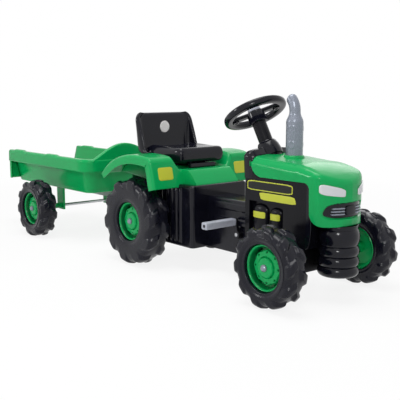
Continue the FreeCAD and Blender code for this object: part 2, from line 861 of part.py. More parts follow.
for name, side in sides.items():
    edge = size.engine_half_width
    y_low, y_high = edge - size.can_recess, edge + size.overrun
    if side < 0:
        y_low, y_high = -y_high, -y_low
    recesses.append(box(f"can_recess_{name}", (forward(size.can_recess_rear), y_low,
                                               size.can_recess_bottom),
                        (forward(size.can_recess_front), y_high, size.can_recess_top)))
    back = sided(edge - size.can_recess, side)
    depth = size.can_recess - size.can_stand / 2
    x = forward(size.can_recess_rear) + size.can_stand
    for place_name, radius in (("rear", size.can_rear_radius), ("front", size.can_front_radius)):
        x = x + radius
        centre = vector(x, back, size.can_recess_bottom)
        ring = Part.Ellipse(centre, float(radius), float(depth))
        tall = size.can_top - size.can_recess_bottom
        barrel = Part.Face(Part.Wire(ring.toShape())).extrude(vector(zero, zero, tall))
        cans.append(solid(f"can_{place_name}_{name}", barrel))
        dome = doc.addObject("Part::Ellipsoid", f"can_dome_{place_name}_{name}")
        bind(dome, Radius1=radius * can_dome_share, Radius2=radius, Radius3=depth)
        place(dome, x, back, size.can_top)
        cans.append(dome)
        x = x + radius + size.can_gap
collar = rod("steering_collar", size.collar_radius, (zero, zero, zero), size.collar_height * 2)
bore = rod("steering_bore", size.bush_radius + size.bead_gap, (zero, zero, zero), shaft_length)


def column_place(piece, distance):
    """Stands a piece on the column line, a distance below the steering wheel's centre."""
    start = [base - distance * share for base, share in zip(column_top, (along.x, along.y, along.z))]
    return place(piece, *start, Vector(0, 1, 0), -tilt)


column_place(collar, column_length + size.collar_height * 2)
column_place(bore, column_length + shaft_length)
finish("engine_housing", cut("engine_bored", fuse("engine_form", cut("engine_recessed", engine, *recesses),
                                                  collar, *cans), bore))
sleeve = rod("bush_sleeve", size.bush_radius, (zero, zero, zero), size.collar_height * 2)
sleeve_bore = rod("bush_sleeve_bore", size.shaft_radius + size.running_gap, (zero, zero, zero),
                  size.collar_height * 3)
column_place(sleeve, column_length + size.collar_height * 2)
column_place(sleeve_bore, column_length + size.collar_height * 2.5)
finish("steering_bush", cut("steering_bush_bored", sleeve, sleeve_bore))


# Free-form mouldings are drawn with these
def path(*steps):
    """Edges through points: a pair of points makes a line, three make an arc."""
    edges = []
    for step in steps:
        curve = Part.LineSegment(*step) if len(step) == 2 else Part.Arc(*step)
        edges.append(curve.toShape())
    return edges


def at(x, z):
    """Point in the centre plane."""
    return vector(x, zero, z)


def across(face, half_width):
    """Extrudes a face of the centre plane evenly to both sides."""
    face.translate(vector(zero, -half_width, zero))
    return face.extrude(vector(zero, half_width * 2, zero))


def between(start, end, share_x, share_z):
    """Point at given shares of the way from start to end, along X and along Z."""
    way = end - start
    return start + Vector(way.x * share_x, 0, way.z * share_z)


quarter_share = 1 - math.sqrt(0.5)


# Nose plan shared by bonnet, grille, lamps: straight sides and a bowed front
def nose_plan(inset, rear):
    """Face of the bonnet's plan on the floor, drawn in by an inset."""
    side = float(size.bonnet_half_width) - inset
    corner = float(forward(size.bonnet_nose_corner))
    nose = float(forward(size.bonnet_nose)) - inset
    left, right = Vector(corner, side, 0), Vector(corner, -side, 0)
    return Part.Face(Part.Wire(path(
        (Vector(rear, -side, 0), right), (right, Vector(nose, 0, 0), left),
        (left, Vector(rear, side, 0)), (Vector(rear, side, 0), Vector(rear, -side, 0)))))


def standing(face, low, high):
    """Extrudes a plan between two heights."""
    face.translate(vector(zero, zero, low))
    return face.extrude(vector(zero, zero, high - low))


def block(low, high):
    """Plain box between two corners, for cutting a free-form shape."""
    spans = [float(b) - float(a) for a, b in zip(low, high)]
    return Part.makeBox(*spans, vector(*low))


# How far along, and how far down, the bonnet's top line falls from its crown to its brow
crest_shares = ((0, 0), (0.35, 0.1), (0.6, 0.29), (0.82, 0.6), (1, 1))


def bonnet_section(x, top, inset):
    """Upright section of the bonnet: straight sides below a top with rounded shoulders."""
    half = float(size.bonnet_half_width) - inset
    bend = float(size.bonnet_edge_round) - inset
    low, high = float(size.bonnet_chin - size.overrun), float(top) - inset
    quarter = bend * quarter_share
    feet = Vector(x, -half, low), Vector(x, half, low)
    shoulders = Vector(x, -half, high - bend), Vector(x, half, high - bend)
    tops = Vector(x, bend - half, high), Vector(x, half - bend, high)
    bends = Vector(x, quarter - half, high - quarter), Vector(x, half - quarter, high - quarter)
    return Part.Wire(path((feet[0], shoulders[0]), (shoulders[0], bends[0], tops[0]), (tops[0], tops[1]),
                          (tops[1], bends[1], shoulders[1]), (shoulders[1], feet[1]), (feet[1], feet[0])))


def bonnet_form(inset):
    """Loft of upright sections from behind the dash to past the nose, cut to the bowed plan."""
    rear = forward(size.bonnet_rear) - size.overrun * 2
    crown, crown_top = forward(size.bonnet_crown_end), size.bonnet_top - size.bonnet_fall
    span = forward(size.bonnet_nose) + size.overrun - crown
    fall = crown_top - size.bonnet_brow + size.overrun
    stations = [(rear, size.bonnet_top), (rear * half_share + crown * half_share, size.bonnet_top
                                          - size.bonnet_fall * half_share)]
    stations += [(crown + span * along_share, crown_top - fall * down_share)
                 for along_share, down_share in crest_shares]
    sections = [bonnet_section(float(x), top, inset) for x, top in stations]
    form = Part.makeLoft(sections, True)
    return form.common(standing(nose_plan(inset, float(rear)), zero, size.bonnet_top * 2)).Solids[0]


def bonnet_lower():
    """Side view of what the stepped lower edge keeps: heel, ledge, nose band and chin."""
    step = size.bonnet_nose_round / 2
    high = size.bonnet_top + size.overrun
    front = forward(size.bonnet_nose) + size.overrun * 2
    chin_rear = at(forward(size.bonnet_chin_corner), size.bonnet_chin)
    band = at(forward(size.engine_front), size.bonnet_band_top)
    upper = at(forward(size.engine_front), size.bonnet_side_low - step)
    ledge = at(forward(size.engine_front) - step, size.bonnet_side_low)
    tail = at(forward(size.bonnet_rear) + size.bonnet_rear_round, size.bonnet_side_low)
    heel = at(forward(size.bonnet_rear), size.bonnet_side_low + size.bonnet_rear_round)
    rear_top, front_top = at(forward(size.bonnet_rear), high), at(front, high)
    chin = at(front, size.bonnet_chin)
    return Part.Face(Part.Wire(path(
        (heel, rear_top), (rear_top, front_top), (front_top, chin), (chin, chin_rear),
        (chin_rear, between(chin_rear, band, 1 - quarter_share, quarter_share), band),
        (band, upper), (upper, between(upper, ledge, quarter_share, 1 - quarter_share), ledge),
        (ledge, tail), (tail, between(tail, heel, 1 - quarter_share, quarter_share), heel))))


half_share = 0.5
wall_inset = float(size.shell_wall)
outer = bonnet_form(0).common(across(bonnet_lower(), size.bonnet_half_width * 2))
shell = outer.cut(bonnet_form(wall_inset))
nose_x = forward(size.bonnet_nose)
slot = block((nose_x - size.grille_half_width, -size.grille_half_width, size.grille_bottom),
             (nose_x + size.overrun, size.grille_half_width, size.grille_top))
upright = [edge for edge in slot.Edges if runs_along(edge, Vector(1, 0, 0))]
slot = slot.makeFillet(float(size.grille_round), upright)
shell = shell.cut(slot)
collar_notch = Part.makeCylinder(float(size.collar_radius + size.side_play), float(shaft_length),
                                 vector(*column_top) - along * float(shaft_length), along)
shell = shell.cut(collar_notch)
finish("bonnet", solid("bonnet_shell", shell))

# Grille insert behind the slot, with level bars that stand in it
seat_inset = wall_inset + float(size.bead_gap)


def nose_band(outer_inset, inner_inset, half_width, low, high):
    """Slice of the nose's bowed front between two insets, cut to a width and height."""
    rear = float(forward(size.engine_front))
    band = standing(nose_plan(outer_inset, rear), low, high).cut(
        standing(nose_plan(inner_inset, rear), low, high))
    front = block((forward(size.engine_front), -half_width, low),
                  (nose_x + size.overrun, half_width, high))
    return band.common(front)


margin = size.grille_depth
clear_width = size.grille_half_width - size.grille_bar
tray = nose_band(seat_inset, seat_inset + float(margin + size.shell_wall),
                 size.grille_half_width + size.grille_bar, size.grille_bottom - margin,
                 size.grille_top + margin)
tray = tray.cut(nose_band(0, seat_inset + float(margin), clear_width, size.grille_bottom, size.grille_top))
bars = []
pitch = (size.grille_top - size.grille_bottom) / (float(size.grille_bar_count) + 1)
for number in range(int(float(size.grille_bar_count))):
    low = size.grille_bottom + pitch * (number + 1) - size.grille_bar / 2
    bars.append(nose_band(float(size.grille_bar), seat_inset + float(margin), clear_width,
                          low, low + size.grille_bar))
finish("grille_insert", solid("grille", tray.fuse(bars).removeSplitter()))

# Headlamp lenses, stuck on the bowed front of the nose
lamps = []
for side in sides.values():
    lens = nose_band(-float(size.lamp_proud), -float(size.bead_gap), size.bonnet_half_width,
                     size.lamp_bottom, size.lamp_top)
    y_low, y_high = size.lamp_inner, size.lamp_outer
    if side < 0:
        y_low, y_high = -y_high, -y_low
    lamps.append(lens.common(block((forward(size.engine_front), y_low, size.lamp_bottom),
                                   (nose_x + size.overrun, y_high, size.lamp_top))))
finish("headlamp_lenses", solid("lamps", Part.makeCompound(lamps)))


# Radiator drum: a bowed box of stacked ribs under the nose, open at the back
def drum_plan(inset):
    half = float(size.drum_half_width) - inset
    rear = float(forward(size.engine_front))
    corner = float(forward(size.bonnet_chin_corner))
    nose = float(forward(size.nose_reach)) - inset
    left, right = Vector(corner, half, 0), Vector(corner, -half, 0)
    return Part.Face(Part.Wire(path(
        (Vector(rear, -half, 0), right), (right, Vector(nose, 0, 0), left),
        (left, Vector(rear, half, 0)), (Vector(rear, half, 0), Vector(rear, -half, 0)))))


rib_count = int(float(size.drum_rib_count))
rib_pitch = (size.drum_top - size.drum_bottom + size.drum_groove_height) / rib_count
ribs_made = [standing(drum_plan(float(size.drum_groove)), size.drum_bottom, size.drum_top)]
for number in range(rib_count):
    low = size.drum_bottom + rib_pitch * number
    ribs_made.append(standing(drum_plan(0), low, low + rib_pitch - size.drum_groove_height))
drum = ribs_made[0].fuse(ribs_made[1:]).removeSplitter()
inset = float(size.drum_groove + size.shell_wall)
space = standing(drum_plan(inset), size.drum_bottom + size.shell_wall, size.drum_top - size.shell_wall)
back_way = block((forward(size.engine_front) - size.overrun, -size.drum_half_width + size.drum_groove * 2,
                  size.drum_bottom + size.shell_wall),
                 (forward(size.engine_front) + size.overrun, size.drum_half_width - size.drum_groove * 2,
                  size.drum_top - size.shell_wall))
finish("radiator_drum", solid("drum", drum.cut(space).cut(back_way)))

# Exhaust stack: collar, silencer, shoulder and a bent tail pipe
stack_x = forward(size.stack_reach)
stack_foot = size.bonnet_top - size.bonnet_fall * 2
foot = rod("stack_foot", size.stack_collar, (stack_x, zero, stack_foot),
           size.bonnet_fall * 2 + size.stack_collar_height / 2)
seat_form = solid("bonnet_outer", outer)
can = rod("stack_can", size.stack_radius, (stack_x, zero, stack_foot), size.stack_shoulder - stack_foot)
shoulder = doc.addObject("Part::Cone", "stack_shoulder")
bind(shoulder, Radius1=size.stack_radius, Radius2=size.pipe_radius,
     Height=size.stack_neck - size.stack_shoulder)
place(shoulder, stack_x, zero, size.stack_shoulder)


def bend(label, radius):
    """Quarter-torus bend that leans the tail pipe back."""
    piece = doc.addObject("Part::Torus", label)
    bind(piece, Radius1=size.pipe_bend, Radius2=radius)
    piece.setExpression("Angle3", size.pipe_bend_angle.formula)
    return place(piece, stack_x - size.pipe_bend, zero, size.stack_neck, Vector(1, 0, 0), 90)


finish("exhaust_stack", cut("stack_bored", fuse("stack_form", foot, can, shoulder,
                                                bend("tail_pipe", size.pipe_radius)),
                            bend("tail_bore", size.pipe_radius - size.pipe_wall), seat_form))


# Rear fender: two wheel arches, the deck under the seat and an apron in front, one moulding
def arch_line(drop):
    """Edges of the arch seen from the side, drawn in by a drop: tip, crest, shoulder, front."""
    tip = at(forward(-size.fender_tip_reach), size.fender_tip_height)
    crest = at(forward(size.fender_front * arch_crest_share), size.fender_top)
    rise = between(tip, crest, arch_rise_x_share, arch_rise_z_share)
    shoulder = at(forward(size.fender_front - size.fender_corner), size.fender_top - size.fender_wall)
    bow = between(shoulder, at(forward(size.fender_front), size.fender_top - size.fender_corner),
                  1 - quarter_share, quarter_share)
    brow = at(forward(size.fender_front), size.fender_top - size.fender_corner)
    foot = at(forward(size.fender_front), size.fender_front_bottom)
    wire = Part.Wire(path((tip, rise, crest), (crest, shoulder), (shoulder, bow, brow), (brow, foot)))
    return wire.makeOffset2D(drop, join=2, fill=True, openResult=True) if drop else wire


arch_crest_share = 0.15
arch_rise_x_share, arch_rise_z_share = 0.42, 0.68


def slab(face, low_y, high_y):
    """Extrudes a face of the centre plane between two offsets to the left."""
    face = face.copy()
    face.translate(vector(zero, low_y, zero))
    return face.extrude(vector(zero, high_y - low_y, zero))


wall = size.fender_wall
skin = arch_line(-float(wall))
tip, foot = (at(forward(-size.fender_tip_reach), size.fender_tip_height),
             at(forward(size.fender_front), size.fender_front_bottom))
cheek = Part.Face(Part.Wire(arch_line(0).Edges + path((foot, tip))))
wheel_opening = cheek.copy()
arch_height = float(size.fender_top - size.rear_tyre_radius)
wheel_centre = vector(rear_axle, zero, size.rear_tyre_radius)
wheel_opening.scale(1 - float(size.fender_skirt) / arch_height, wheel_centre)
skirt = cheek.cut(wheel_opening)
left_half = slab(skin, size.fender_inner, size.fender_face).fuse([
    slab(skirt, size.fender_face - wall, size.fender_face),
    slab(cheek, size.fender_inner, size.fender_inner + wall)])
right_half = left_half.mirror(Vector(0, 0, 0), Vector(0, 1, 0))
inner = size.fender_inner + wall
apron_x = forward(size.fender_front)
deck = block((forward(-size.deck_rear), -inner, size.deck_height - wall),
             (apron_x, inner, size.deck_height))
tail_board = block((forward(-size.deck_rear), -inner, size.box_top),
                   (forward(-size.deck_rear) + wall, inner, size.deck_height))
apron = block((apron_x - wall, -inner, size.box_top), (apron_x, inner, size.deck_height))
narrow, wide = float(size.apron_half_width), float(size.apron_half_width + size.apron_taper)
low, high = float(size.box_top), float(size.deck_height - size.apron_step)
panel_corners = [Vector(0, -wide, low), Vector(0, wide, low), Vector(0, narrow, high),
                 Vector(0, -narrow, high), Vector(0, -wide, low)]
panel = Part.Face(Part.makePolygon(panel_corners)).extrude(vector(size.apron_step, zero, zero))
panel.translate(vector(apron_x, zero, zero))
fender = left_half.fuse([right_half, deck, tail_board, apron, panel]).removeSplitter()
finish("rear_fender", solid("fender", fender))

# Seat rail on the deck, and the moulded seat with the slider under it
finish("seat_rail", box("rail", (forward(-size.rail_rear), -size.rail_half_width, size.deck_height),
                        (forward(size.rail_front), size.rail_half_width,
                         size.deck_height + size.rail_height)))
slider_low = size.deck_height + size.rail_height + size.slide_gap
slider_half = size.rail_half_width + size.slide_gap + size.slider_lip
slider_rear, slider_front = forward(zero), forward(size.rail_front - size.seat_round * 2)
slider_top = box("slider_top", (slider_rear, -slider_half, slider_low),
                 (slider_front, slider_half, size.seat_bottom))
lips = [box(f"slider_lip_{name}", (slider_rear, low, size.deck_height + size.slide_gap),
            (slider_front, low + size.slider_lip, slider_low))
        for name, low in (("left", slider_half - size.slider_lip), ("right", -slider_half))]
finish("seat_slider", fuse("slider_form", slider_top, *lips))
pan = block((forward(-size.seat_rear), -size.seat_half_width, size.seat_bottom),
            (forward(size.seat_front), size.seat_half_width, size.seat_top))
pan = pan.makeFillet(float(size.seat_round), [edge for edge in pan.Edges
                                              if edge.CenterOfMass.z > float(size.seat_bottom)])
dish_radius = (float(size.seat_half_width) ** 2 + float(size.seat_dish) ** 2) / (2 * float(size.seat_dish))
dish_start = forward(-size.seat_rear) - size.overrun
dish_height = float(size.seat_top - size.seat_dish) + dish_radius
dish = Part.makeCylinder(dish_radius, float(size.seat_front + size.seat_rear - size.seat_round),
                         vector(dish_start, zero, dish_height), Vector(1, 0, 0))


def back_plan(inset):
    """Bowed line of the backrest, wings forward, drawn back by an inset."""
    half = float(size.back_half_width)
    rear = float(forward(-size.seat_rear)) - inset
    wing = rear + float(size.back_wing)
    return Vector(wing, -half, 0), Vector(rear, 0, 0), Vector(wing, half, 0)


front_line, rear_line = back_plan(0), back_plan(float(size.back_wall))
bowed = Part.Face(Part.Wire(path(front_line, (front_line[2], rear_line[2]),
                                 (rear_line[2], rear_line[1], rear_line[0]),
                                 (rear_line[0], front_line[0]))))
backrest = standing(bowed, size.seat_bottom, size.back_top)
shield = block((forward(-size.seat_rear) - size.back_wing, -size.back_half_width, size.seat_bottom),
               (forward(-size.seat_rear) + size.back_wing * 2, size.back_half_width, size.back_top))
shield = shield.makeFillet(float(size.back_corner), [
    edge for edge in shield.Edges if runs_along(edge, Vector(1, 0, 0))
    and edge.CenterOfMass.z > float(size.seat_top)])
cheeks = block((forward(-size.seat_rear) - size.back_wall, -size.seat_half_width, size.seat_bottom),
               (forward(-size.seat_rear) + size.back_wing, size.seat_half_width,
                size.seat_top - size.seat_dish))
seat_shape = pan.cut(dish).fuse([backrest.common(shield), cheeks]).removeSplitter()
finish("seat", solid("seat_shell", seat_shape))

# Steering wheel, its column sleeve, the horn button and the shaft with its drop arm
grip = doc.addObject("Part::Torus", "wheel_grip_ring")
bind(grip, Radius1=size.wheel_radius - size.wheel_grip, Radius2=size.wheel_grip)
boss_share, hub_drop_share = 0.66, 0.305
horn_disc_share, horn_crown_share = 0.75, 0.7
reach = size.wheel_radius - size.wheel_grip
half = size.spoke_width / 2
spokes = box("wheel_spokes", (-half, -reach, -size.spoke_thickness / 2),
             (half, reach, size.spoke_thickness / 2))
bosses = [rod(f"spoke_boss_{name}", size.spoke_boss, (zero, sided(reach * boss_share, side),
                                                      -size.spoke_thickness), size.spoke_thickness * 2)
          for name, side in sides.items()]
hub_drop = column_length * hub_drop_share
hub = rod("wheel_hub", size.wheel_hub_radius, (zero, zero, -hub_drop), hub_drop + size.hub_top)
hub_bore = rod("wheel_bore", size.shaft_radius + size.running_gap,
               (zero, zero, -hub_drop - size.overrun), hub_drop + size.hub_top + size.overrun)
horn_low = size.hub_top - size.horn_height / 2
horn_floor = horn_low - size.horn_travel
horn_well = rod("horn_well", size.horn_radius + size.side_play, (zero, zero, horn_floor), hub_drop)
finish("steering_wheel", on_column(cut("wheel_form", fuse("wheel_solid", grip, spokes, hub, *bosses),
                                       hub_bore, horn_well)))
sleeve = rod("column_sleeve", size.column_radius, (zero, zero, -column_length + size.side_play),
             column_length - size.side_play - hub_drop)
sleeve_bore = rod("column_bore", size.shaft_radius + size.running_gap,
                  (zero, zero, -column_length - size.overrun), column_length + size.overrun)
finish("steering_column", on_column(cut("column_form", sleeve, sleeve_bore)))
horn_disc = rod("horn_disc", size.horn_radius, (zero, zero, horn_low), size.horn_height * horn_disc_share)
horn_crown = rod("horn_crown", size.horn_radius * horn_crown_share, (zero, zero, horn_low), size.horn_height)
finish("horn_button", on_column(fuse("horn_form", horn_disc, horn_crown)))
shaft = rod("shaft_rod", size.shaft_radius, (zero, zero, -shaft_length),
            shaft_length + horn_low - size.horn_travel - size.side_play)
arm_half = size.drop_pin_radius * 2
arm = box("drop_arm_plate", (-size.drop_arm, -arm_half, -shaft_length),
          (zero, arm_half, size.arm_plate - shaft_length))
tip = rod("drop_arm_tip", arm_half, (-size.drop_arm, zero, -shaft_length), size.arm_plate)
pin = rod("drop_arm_pin", size.drop_pin_radius,
          (-size.drop_arm, zero, -shaft_length - size.drop_pin_length), size.drop_pin_length)
finish("steering_shaft", on_column(fuse("shaft_form", shaft, arm, tip, pin)))

# Front axle beam with forked ends, kingpins, knuckles and the tie rod
axle_z = size.small_tyre_radius
fork, plate = size.fork_half_height, size.fork_plate
deep = size.beam_depth / 2
fork_end = size.kingpin_offset + size.knuckle_radius
web = box("beam_web", (front_axle - deep, -size.beam_half_width, axle_z - fork),
          (front_axle + deep, size.beam_half_width, axle_z + fork))
plates = [box(f"beam_plate_{name}", (front_axle - deep, -fork_end, low),
              (front_axle + deep, fork_end, low + plate))
          for name, low in (("upper", axle_z + fork - plate), ("lower", axle_z - fork))]
holes = [rod(f"kingpin_hole_{name}", size.kingpin_radius + size.bead_gap,
             (front_axle, sided(size.kingpin_offset, side), axle_z - fork - size.overrun),
             (fork + size.overrun) * 2) for name, side in sides.items()]
finish("front_axle_beam", cut("beam_bored", fuse("beam_form", web, *plates), *holes))


def kingpin(name, side):
    """Headed steel pin through the fork."""
    y = sided(size.kingpin_offset, side)
    shank = rod(f"kingpin_{name}_shank", size.kingpin_radius, (front_axle, y, axle_z - fork), fork * 2)
    head = rod(f"kingpin_{name}_head", size.kingpin_radius * 2, (front_axle, y, axle_z - fork - plate / 2),
               plate / 2)
    return fuse(f"kingpin_{name}", shank, head)


finish("kingpins", group("kingpin_pair", *(kingpin(name, side) for name, side in sides.items())))
knuckle_low, knuckle_high = axle_z - fork + plate + size.side_play, axle_z + fork - plate - size.side_play
arm_low = axle_z + size.axle_radius + size.rod_slot_play
bar_low = arm_low + size.arm_plate + size.side_play
bar_high = bar_low + size.arm_plate
pin_x = front_axle - size.knuckle_arm


def knuckle(label, side):
    """Stub axle: a barrel on the kingpin, the wheel spindle and the steering arm with its pin."""
    y = sided(size.kingpin_offset, side)
    spindle = size.front_face - size.rim_recess - size.rim_wall - size.kingpin_offset
    barrel = rod(f"{label}_barrel", size.knuckle_radius, (front_axle, y, knuckle_low),
                 knuckle_high - knuckle_low)
    stub = rod(f"{label}_stub", size.axle_radius, (front_axle, y, axle_z), spindle, "Y")
    shoulder_length = size.front_face - size.small_tyre_width + size.hub_inset - size.side_play
    shoulder = rod(f"{label}_shoulder", size.bush_radius, (front_axle, y, axle_z),
                   shoulder_length - size.kingpin_offset, "Y")
    if side < 0:
        for piece in (stub, shoulder):
            place(piece, front_axle, y, axle_z, Vector(1, 0, 0), 90)
    half = size.rod_eye_radius
    web = box(f"{label}_arm", (pin_x, y - half, arm_low), (front_axle, y + half, arm_low + size.arm_plate))
    eye = rod(f"{label}_eye", half, (pin_x, y, arm_low), size.arm_plate)
    pin = rod(f"{label}_pin", size.rod_pin_radius, (pin_x, y, arm_low), bar_high - arm_low + size.side_play)
    bore = rod(f"{label}_bore", size.kingpin_radius + size.running_gap,
               (front_axle, y, knuckle_low - size.overrun), knuckle_high - knuckle_low + size.overrun * 2)
    form = fuse(f"{label}_form", barrel, stub, shoulder, web, eye, pin)
    return finish(label, cut(f"{label}_bored", form, bore))


for name, side in sides.items():
    knuckle(f"knuckle_{name}", side)
    finish(f"front_axle_cap_{name}", axle_cap(f"front_cap_{name}", side, size.front_face, front_axle,
                                              axle_z, size.side_play))

# Tie rod: a flat bar with an eye at each end and a slotted tongue for the drop arm's pin
half = size.rod_radius
bar = box("tie_bar", (pin_x - half, -size.kingpin_offset, bar_low),
          (pin_x + half, size.kingpin_offset, bar_high))
eyes = [rod(f"tie_eye_{name}", size.rod_eye_radius, (pin_x, sided(size.kingpin_offset, side), bar_low),
            bar_high - bar_low) for name, side in sides.items()]
eye_holes = [rod(f"tie_hole_{name}", size.rod_pin_radius + size.slide_gap,
                 (pin_x, sided(size.kingpin_offset, side), bar_low - size.overrun),
                 bar_high - bar_low + size.overrun * 2) for name, side in sides.items()]
tilt_angle = math.radians(tilt)
pin_way = (size.wheel_height - bar_low - size.arm_plate / 2 - size.drop_arm * math.sin(tilt_angle)) \
    / math.cos(tilt_angle)
slot_x = column_top[0] + pin_way * math.sin(tilt_angle) - size.drop_arm * math.cos(tilt_angle)
slot_half = size.rod_slot_length / 2
tongue_half = size.drop_pin_radius + size.rod_slot_play + size.rod_radius
tongue = box("tie_tongue", (slot_x - slot_half - size.rod_radius, -tongue_half, bar_low),
             (pin_x, tongue_half, bar_high))
slot_play = size.drop_pin_radius + size.rod_slot_play
slot = box("tie_slot", (slot_x - slot_half, -slot_play, bar_low - size.overrun),
           (slot_x + slot_half, slot_play, bar_high + size.overrun))
finish("tie_rod", cut("tie_rod_bored", fuse("tie_rod_form", bar, tongue, *eyes), slot, *eye_holes))

# Tow hitch on the back of the seat box, with its drop-in pin
eye_low, eye_high = size.hitch_height - size.eye_height / 2, size.hitch_height + size.eye_height / 2
half, plate = size.hitch_half_width, size.hitch_plate
back = forward(-size.box_rear)
hitch_low, hitch_high = eye_low - size.side_play - plate, eye_high + size.side_play + plate
foot = box("hitch_foot", (back - plate, -half, hitch_low - plate), (back, half, hitch_high + plate))
jaws = [box(f"hitch_jaw_{name}", (hitch - half, -half, low), (back, half, low + plate))
        for name, low in (("lower", hitch_low), ("upper", hitch_high - plate))]
pin_hole = rod("hitch_hole", size.hitch_pin_radius + size.bead_gap, (hitch, zero, hitch_low - size.overrun),
               hitch_high - hitch_low + size.overrun * 2)
finish("tow_hitch", cut("hitch_bored", fuse("hitch_form", foot, *jaws), pin_hole))
pin_shank = rod("hitch_pin_shank", size.hitch_pin_radius, (hitch, zero, hitch_low - plate),
                hitch_high - hitch_low + plate + size.hitch_pin_rise)
pin_collar = rod("hitch_pin_collar", size.hitch_knob_radius, (hitch, zero, hitch_high), plate)
pin_knob = rod("hitch_pin_knob", size.hitch_knob_radius, (hitch, zero, hitch_high + size.hitch_pin_rise),
               size.hitch_knob_height)
finish("hitch_pin", fuse("hitch_pin_form", pin_shank, pin_collar, pin_knob))

# Trailer drawbar, axle, brackets and caps
half = size.drawbar_half_width
floor_low = size.tub_floor
bar = box("drawbar_beam", (trailer_axle, -half, floor_low - size.drawbar_height), (hitch, half, floor_low))
eye = rod("drawbar_eye", size.eye_radius, (hitch, zero, eye_low), size.eye_height)
jaw_sweep = size.hitch_half_width * relief_share
swing_low = rod("drawbar_relief_low", jaw_sweep, (hitch, zero, eye_low - size.drawbar_height * 2),
                size.drawbar_height * 2)
swing_high = rod("drawbar_relief_high", jaw_sweep, (hitch, zero, eye_high), size.drawbar_height * 2)
eye_bore = rod("drawbar_bore", size.hitch_pin_radius + size.running_gap,
               (hitch, zero, eye_low - size.overrun), size.eye_height + size.overrun * 2)
finish("drawbar", cut("drawbar_form", fuse("drawbar_solid", bar, eye), swing_low, swing_high, eye_bore))
axle_reach = size.trailer_face - size.rim_recess - size.rim_wall
finish("trailer_axle", rod("trailer_rod", size.axle_radius, (trailer_axle, -axle_reach, axle_z),
                           axle_reach * 2, "Y"))
hub_in = size.trailer_face - size.small_tyre_width + size.hub_inset - size.side_play


def bracket(name, side):
    """Leg from the tub floor to the trailer axle, with a spacer tube out to the wheel."""
    near, far = size.bracket_offset - size.bracket_plate, size.bracket_offset
    y_low = near if side > 0 else -far
    leg_half = size.bracket_half_length
    leg = box(f"bracket_{name}_leg", (trailer_axle - leg_half, y_low, axle_z - size.bush_flange),
              (trailer_axle + leg_half, y_low + size.bracket_plate, floor_low))
    tube = rod(f"bracket_{name}_tube", size.bush_radius, (trailer_axle, near, axle_z), hub_in - near, "Y")
    bore = rod(f"bracket_{name}_bore", size.axle_radius + size.running_gap,
               (trailer_axle, near - size.overrun, axle_z), hub_in - near + size.overrun * 2, "Y")
    if side < 0:
        place(tube, trailer_axle, -near, axle_z, Vector(1, 0, 0), 90)
        place(bore, trailer_axle, size.overrun - near, axle_z, Vector(1, 0, 0), 90)
    return cut(f"bracket_{name}", fuse(f"bracket_{name}_form", leg, tube), bore)


finish("trailer_brackets", group("bracket_pair", *(bracket(name, side) for name, side in sides.items())))
finish("trailer_axle_caps", group("trailer_caps", *(
    axle_cap(f"trailer_cap_{name}", side, size.trailer_face, trailer_axle, axle_z, size.side_play)
    for name, side in sides.items())))


# Trailer tub: tapered box with a turned-down rim, open at the back, and an arched headboard
def tub_block(inset, floor, top, tail):
    """Tapered block between the floor and the rim, drawn in by an inset."""
    rings = []
    share = (top - float(size.tub_floor)) / float(size.tub_rim - size.tub_floor)
    low_share = (floor - float(size.tub_floor)) / float(size.tub_rim - size.tub_floor)
    for height, way in ((floor, low_share), (top, share)):
        half = float(size.tub_floor_half_width) * (1 - way) + float(size.tub_half_width) * way - inset
        front_reach = float(size.tub_floor_front) * (1 - way) + float(size.tub_front) * way + inset
        front = float(rear_axle) - front_reach
        corners = [Vector(tail, -half, height), Vector(front, -half, height), Vector(front, half, height),
                   Vector(tail, half, height), Vector(tail, -half, height)]
        rings.append(Part.makePolygon(corners))
    form = Part.makeLoft(rings, True, True)
    front_edges = [edge for edge in form.Edges if edge.CenterOfMass.x > float(trailer_axle)
                   and abs(edge.Vertexes[0].Z - edge.Vertexes[1].Z) > float(size.tub_wall)]
    return form.makeFillet(float(size.tub_corner) - inset, front_edges)


tail = forward(-size.tail_reach)
wall = float(size.tub_wall)
past = float(size.overrun)
tub = tub_block(0, float(size.tub_floor), float(size.tub_rim), float(tail))
tub = tub.cut(tub_block(wall, float(size.tub_floor) + wall, float(size.tub_rim) + past, float(tail) - past))


def rim_plan(reach):
    """Rounded plan of the tub rim, a reach outside the tub's top edge."""
    half = float(size.tub_half_width) + reach
    front = float(forward(-size.tub_front)) + reach
    plan = Part.makePlane(front - float(tail), half * 2, Vector(float(tail), -half, 0))
    corner = plan.extrude(Vector(0, 0, 1))
    upright = [edge for edge in corner.Edges if runs_along(edge, Vector(0, 0, 1))
               and edge.CenterOfMass.x > float(trailer_axle)]
    rounded = corner.makeFillet(float(size.tub_corner) + reach, upright)
    return next(face for face in rounded.Faces if face.BoundBox.ZMax < float(size.bead_gap))


over = float(size.rim_overhang)
top = standing(rim_plan(over), size.tub_rim - size.tub_wall, size.tub_rim).cut(
    standing(rim_plan(-wall), zero, size.tub_rim * 2))
skirt = standing(rim_plan(over), size.tub_rim - size.rim_skirt, size.tub_rim).cut(
    standing(rim_plan(over - wall), zero, size.tub_rim * 2))
ears = []
for side in sides.values():
    low, high = float(size.tub_floor + size.rim_skirt / 3), float(size.tub_rim)
    inner_low = float(size.tub_floor_half_width) + wall
    outer = float(size.tub_half_width) + over
    lean = float(size.tub_half_width)
    corners = [Vector(0, side * inner_low, low), Vector(0, side * outer, low),
               Vector(0, side * outer, high), Vector(0, side * (lean - wall), high),
               Vector(0, side * inner_low, low)]
    ear = Part.Face(Part.makePolygon(corners)).extrude(Vector(wall, 0, 0))
    ear.translate(vector(tail, zero, zero))
    ears.append(ear)
front_x = float(forward(-size.tub_front)) + over
half = float(size.arch_half_width)
low, crest = float(size.tub_rim - size.tub_wall), float(size.arch_top)


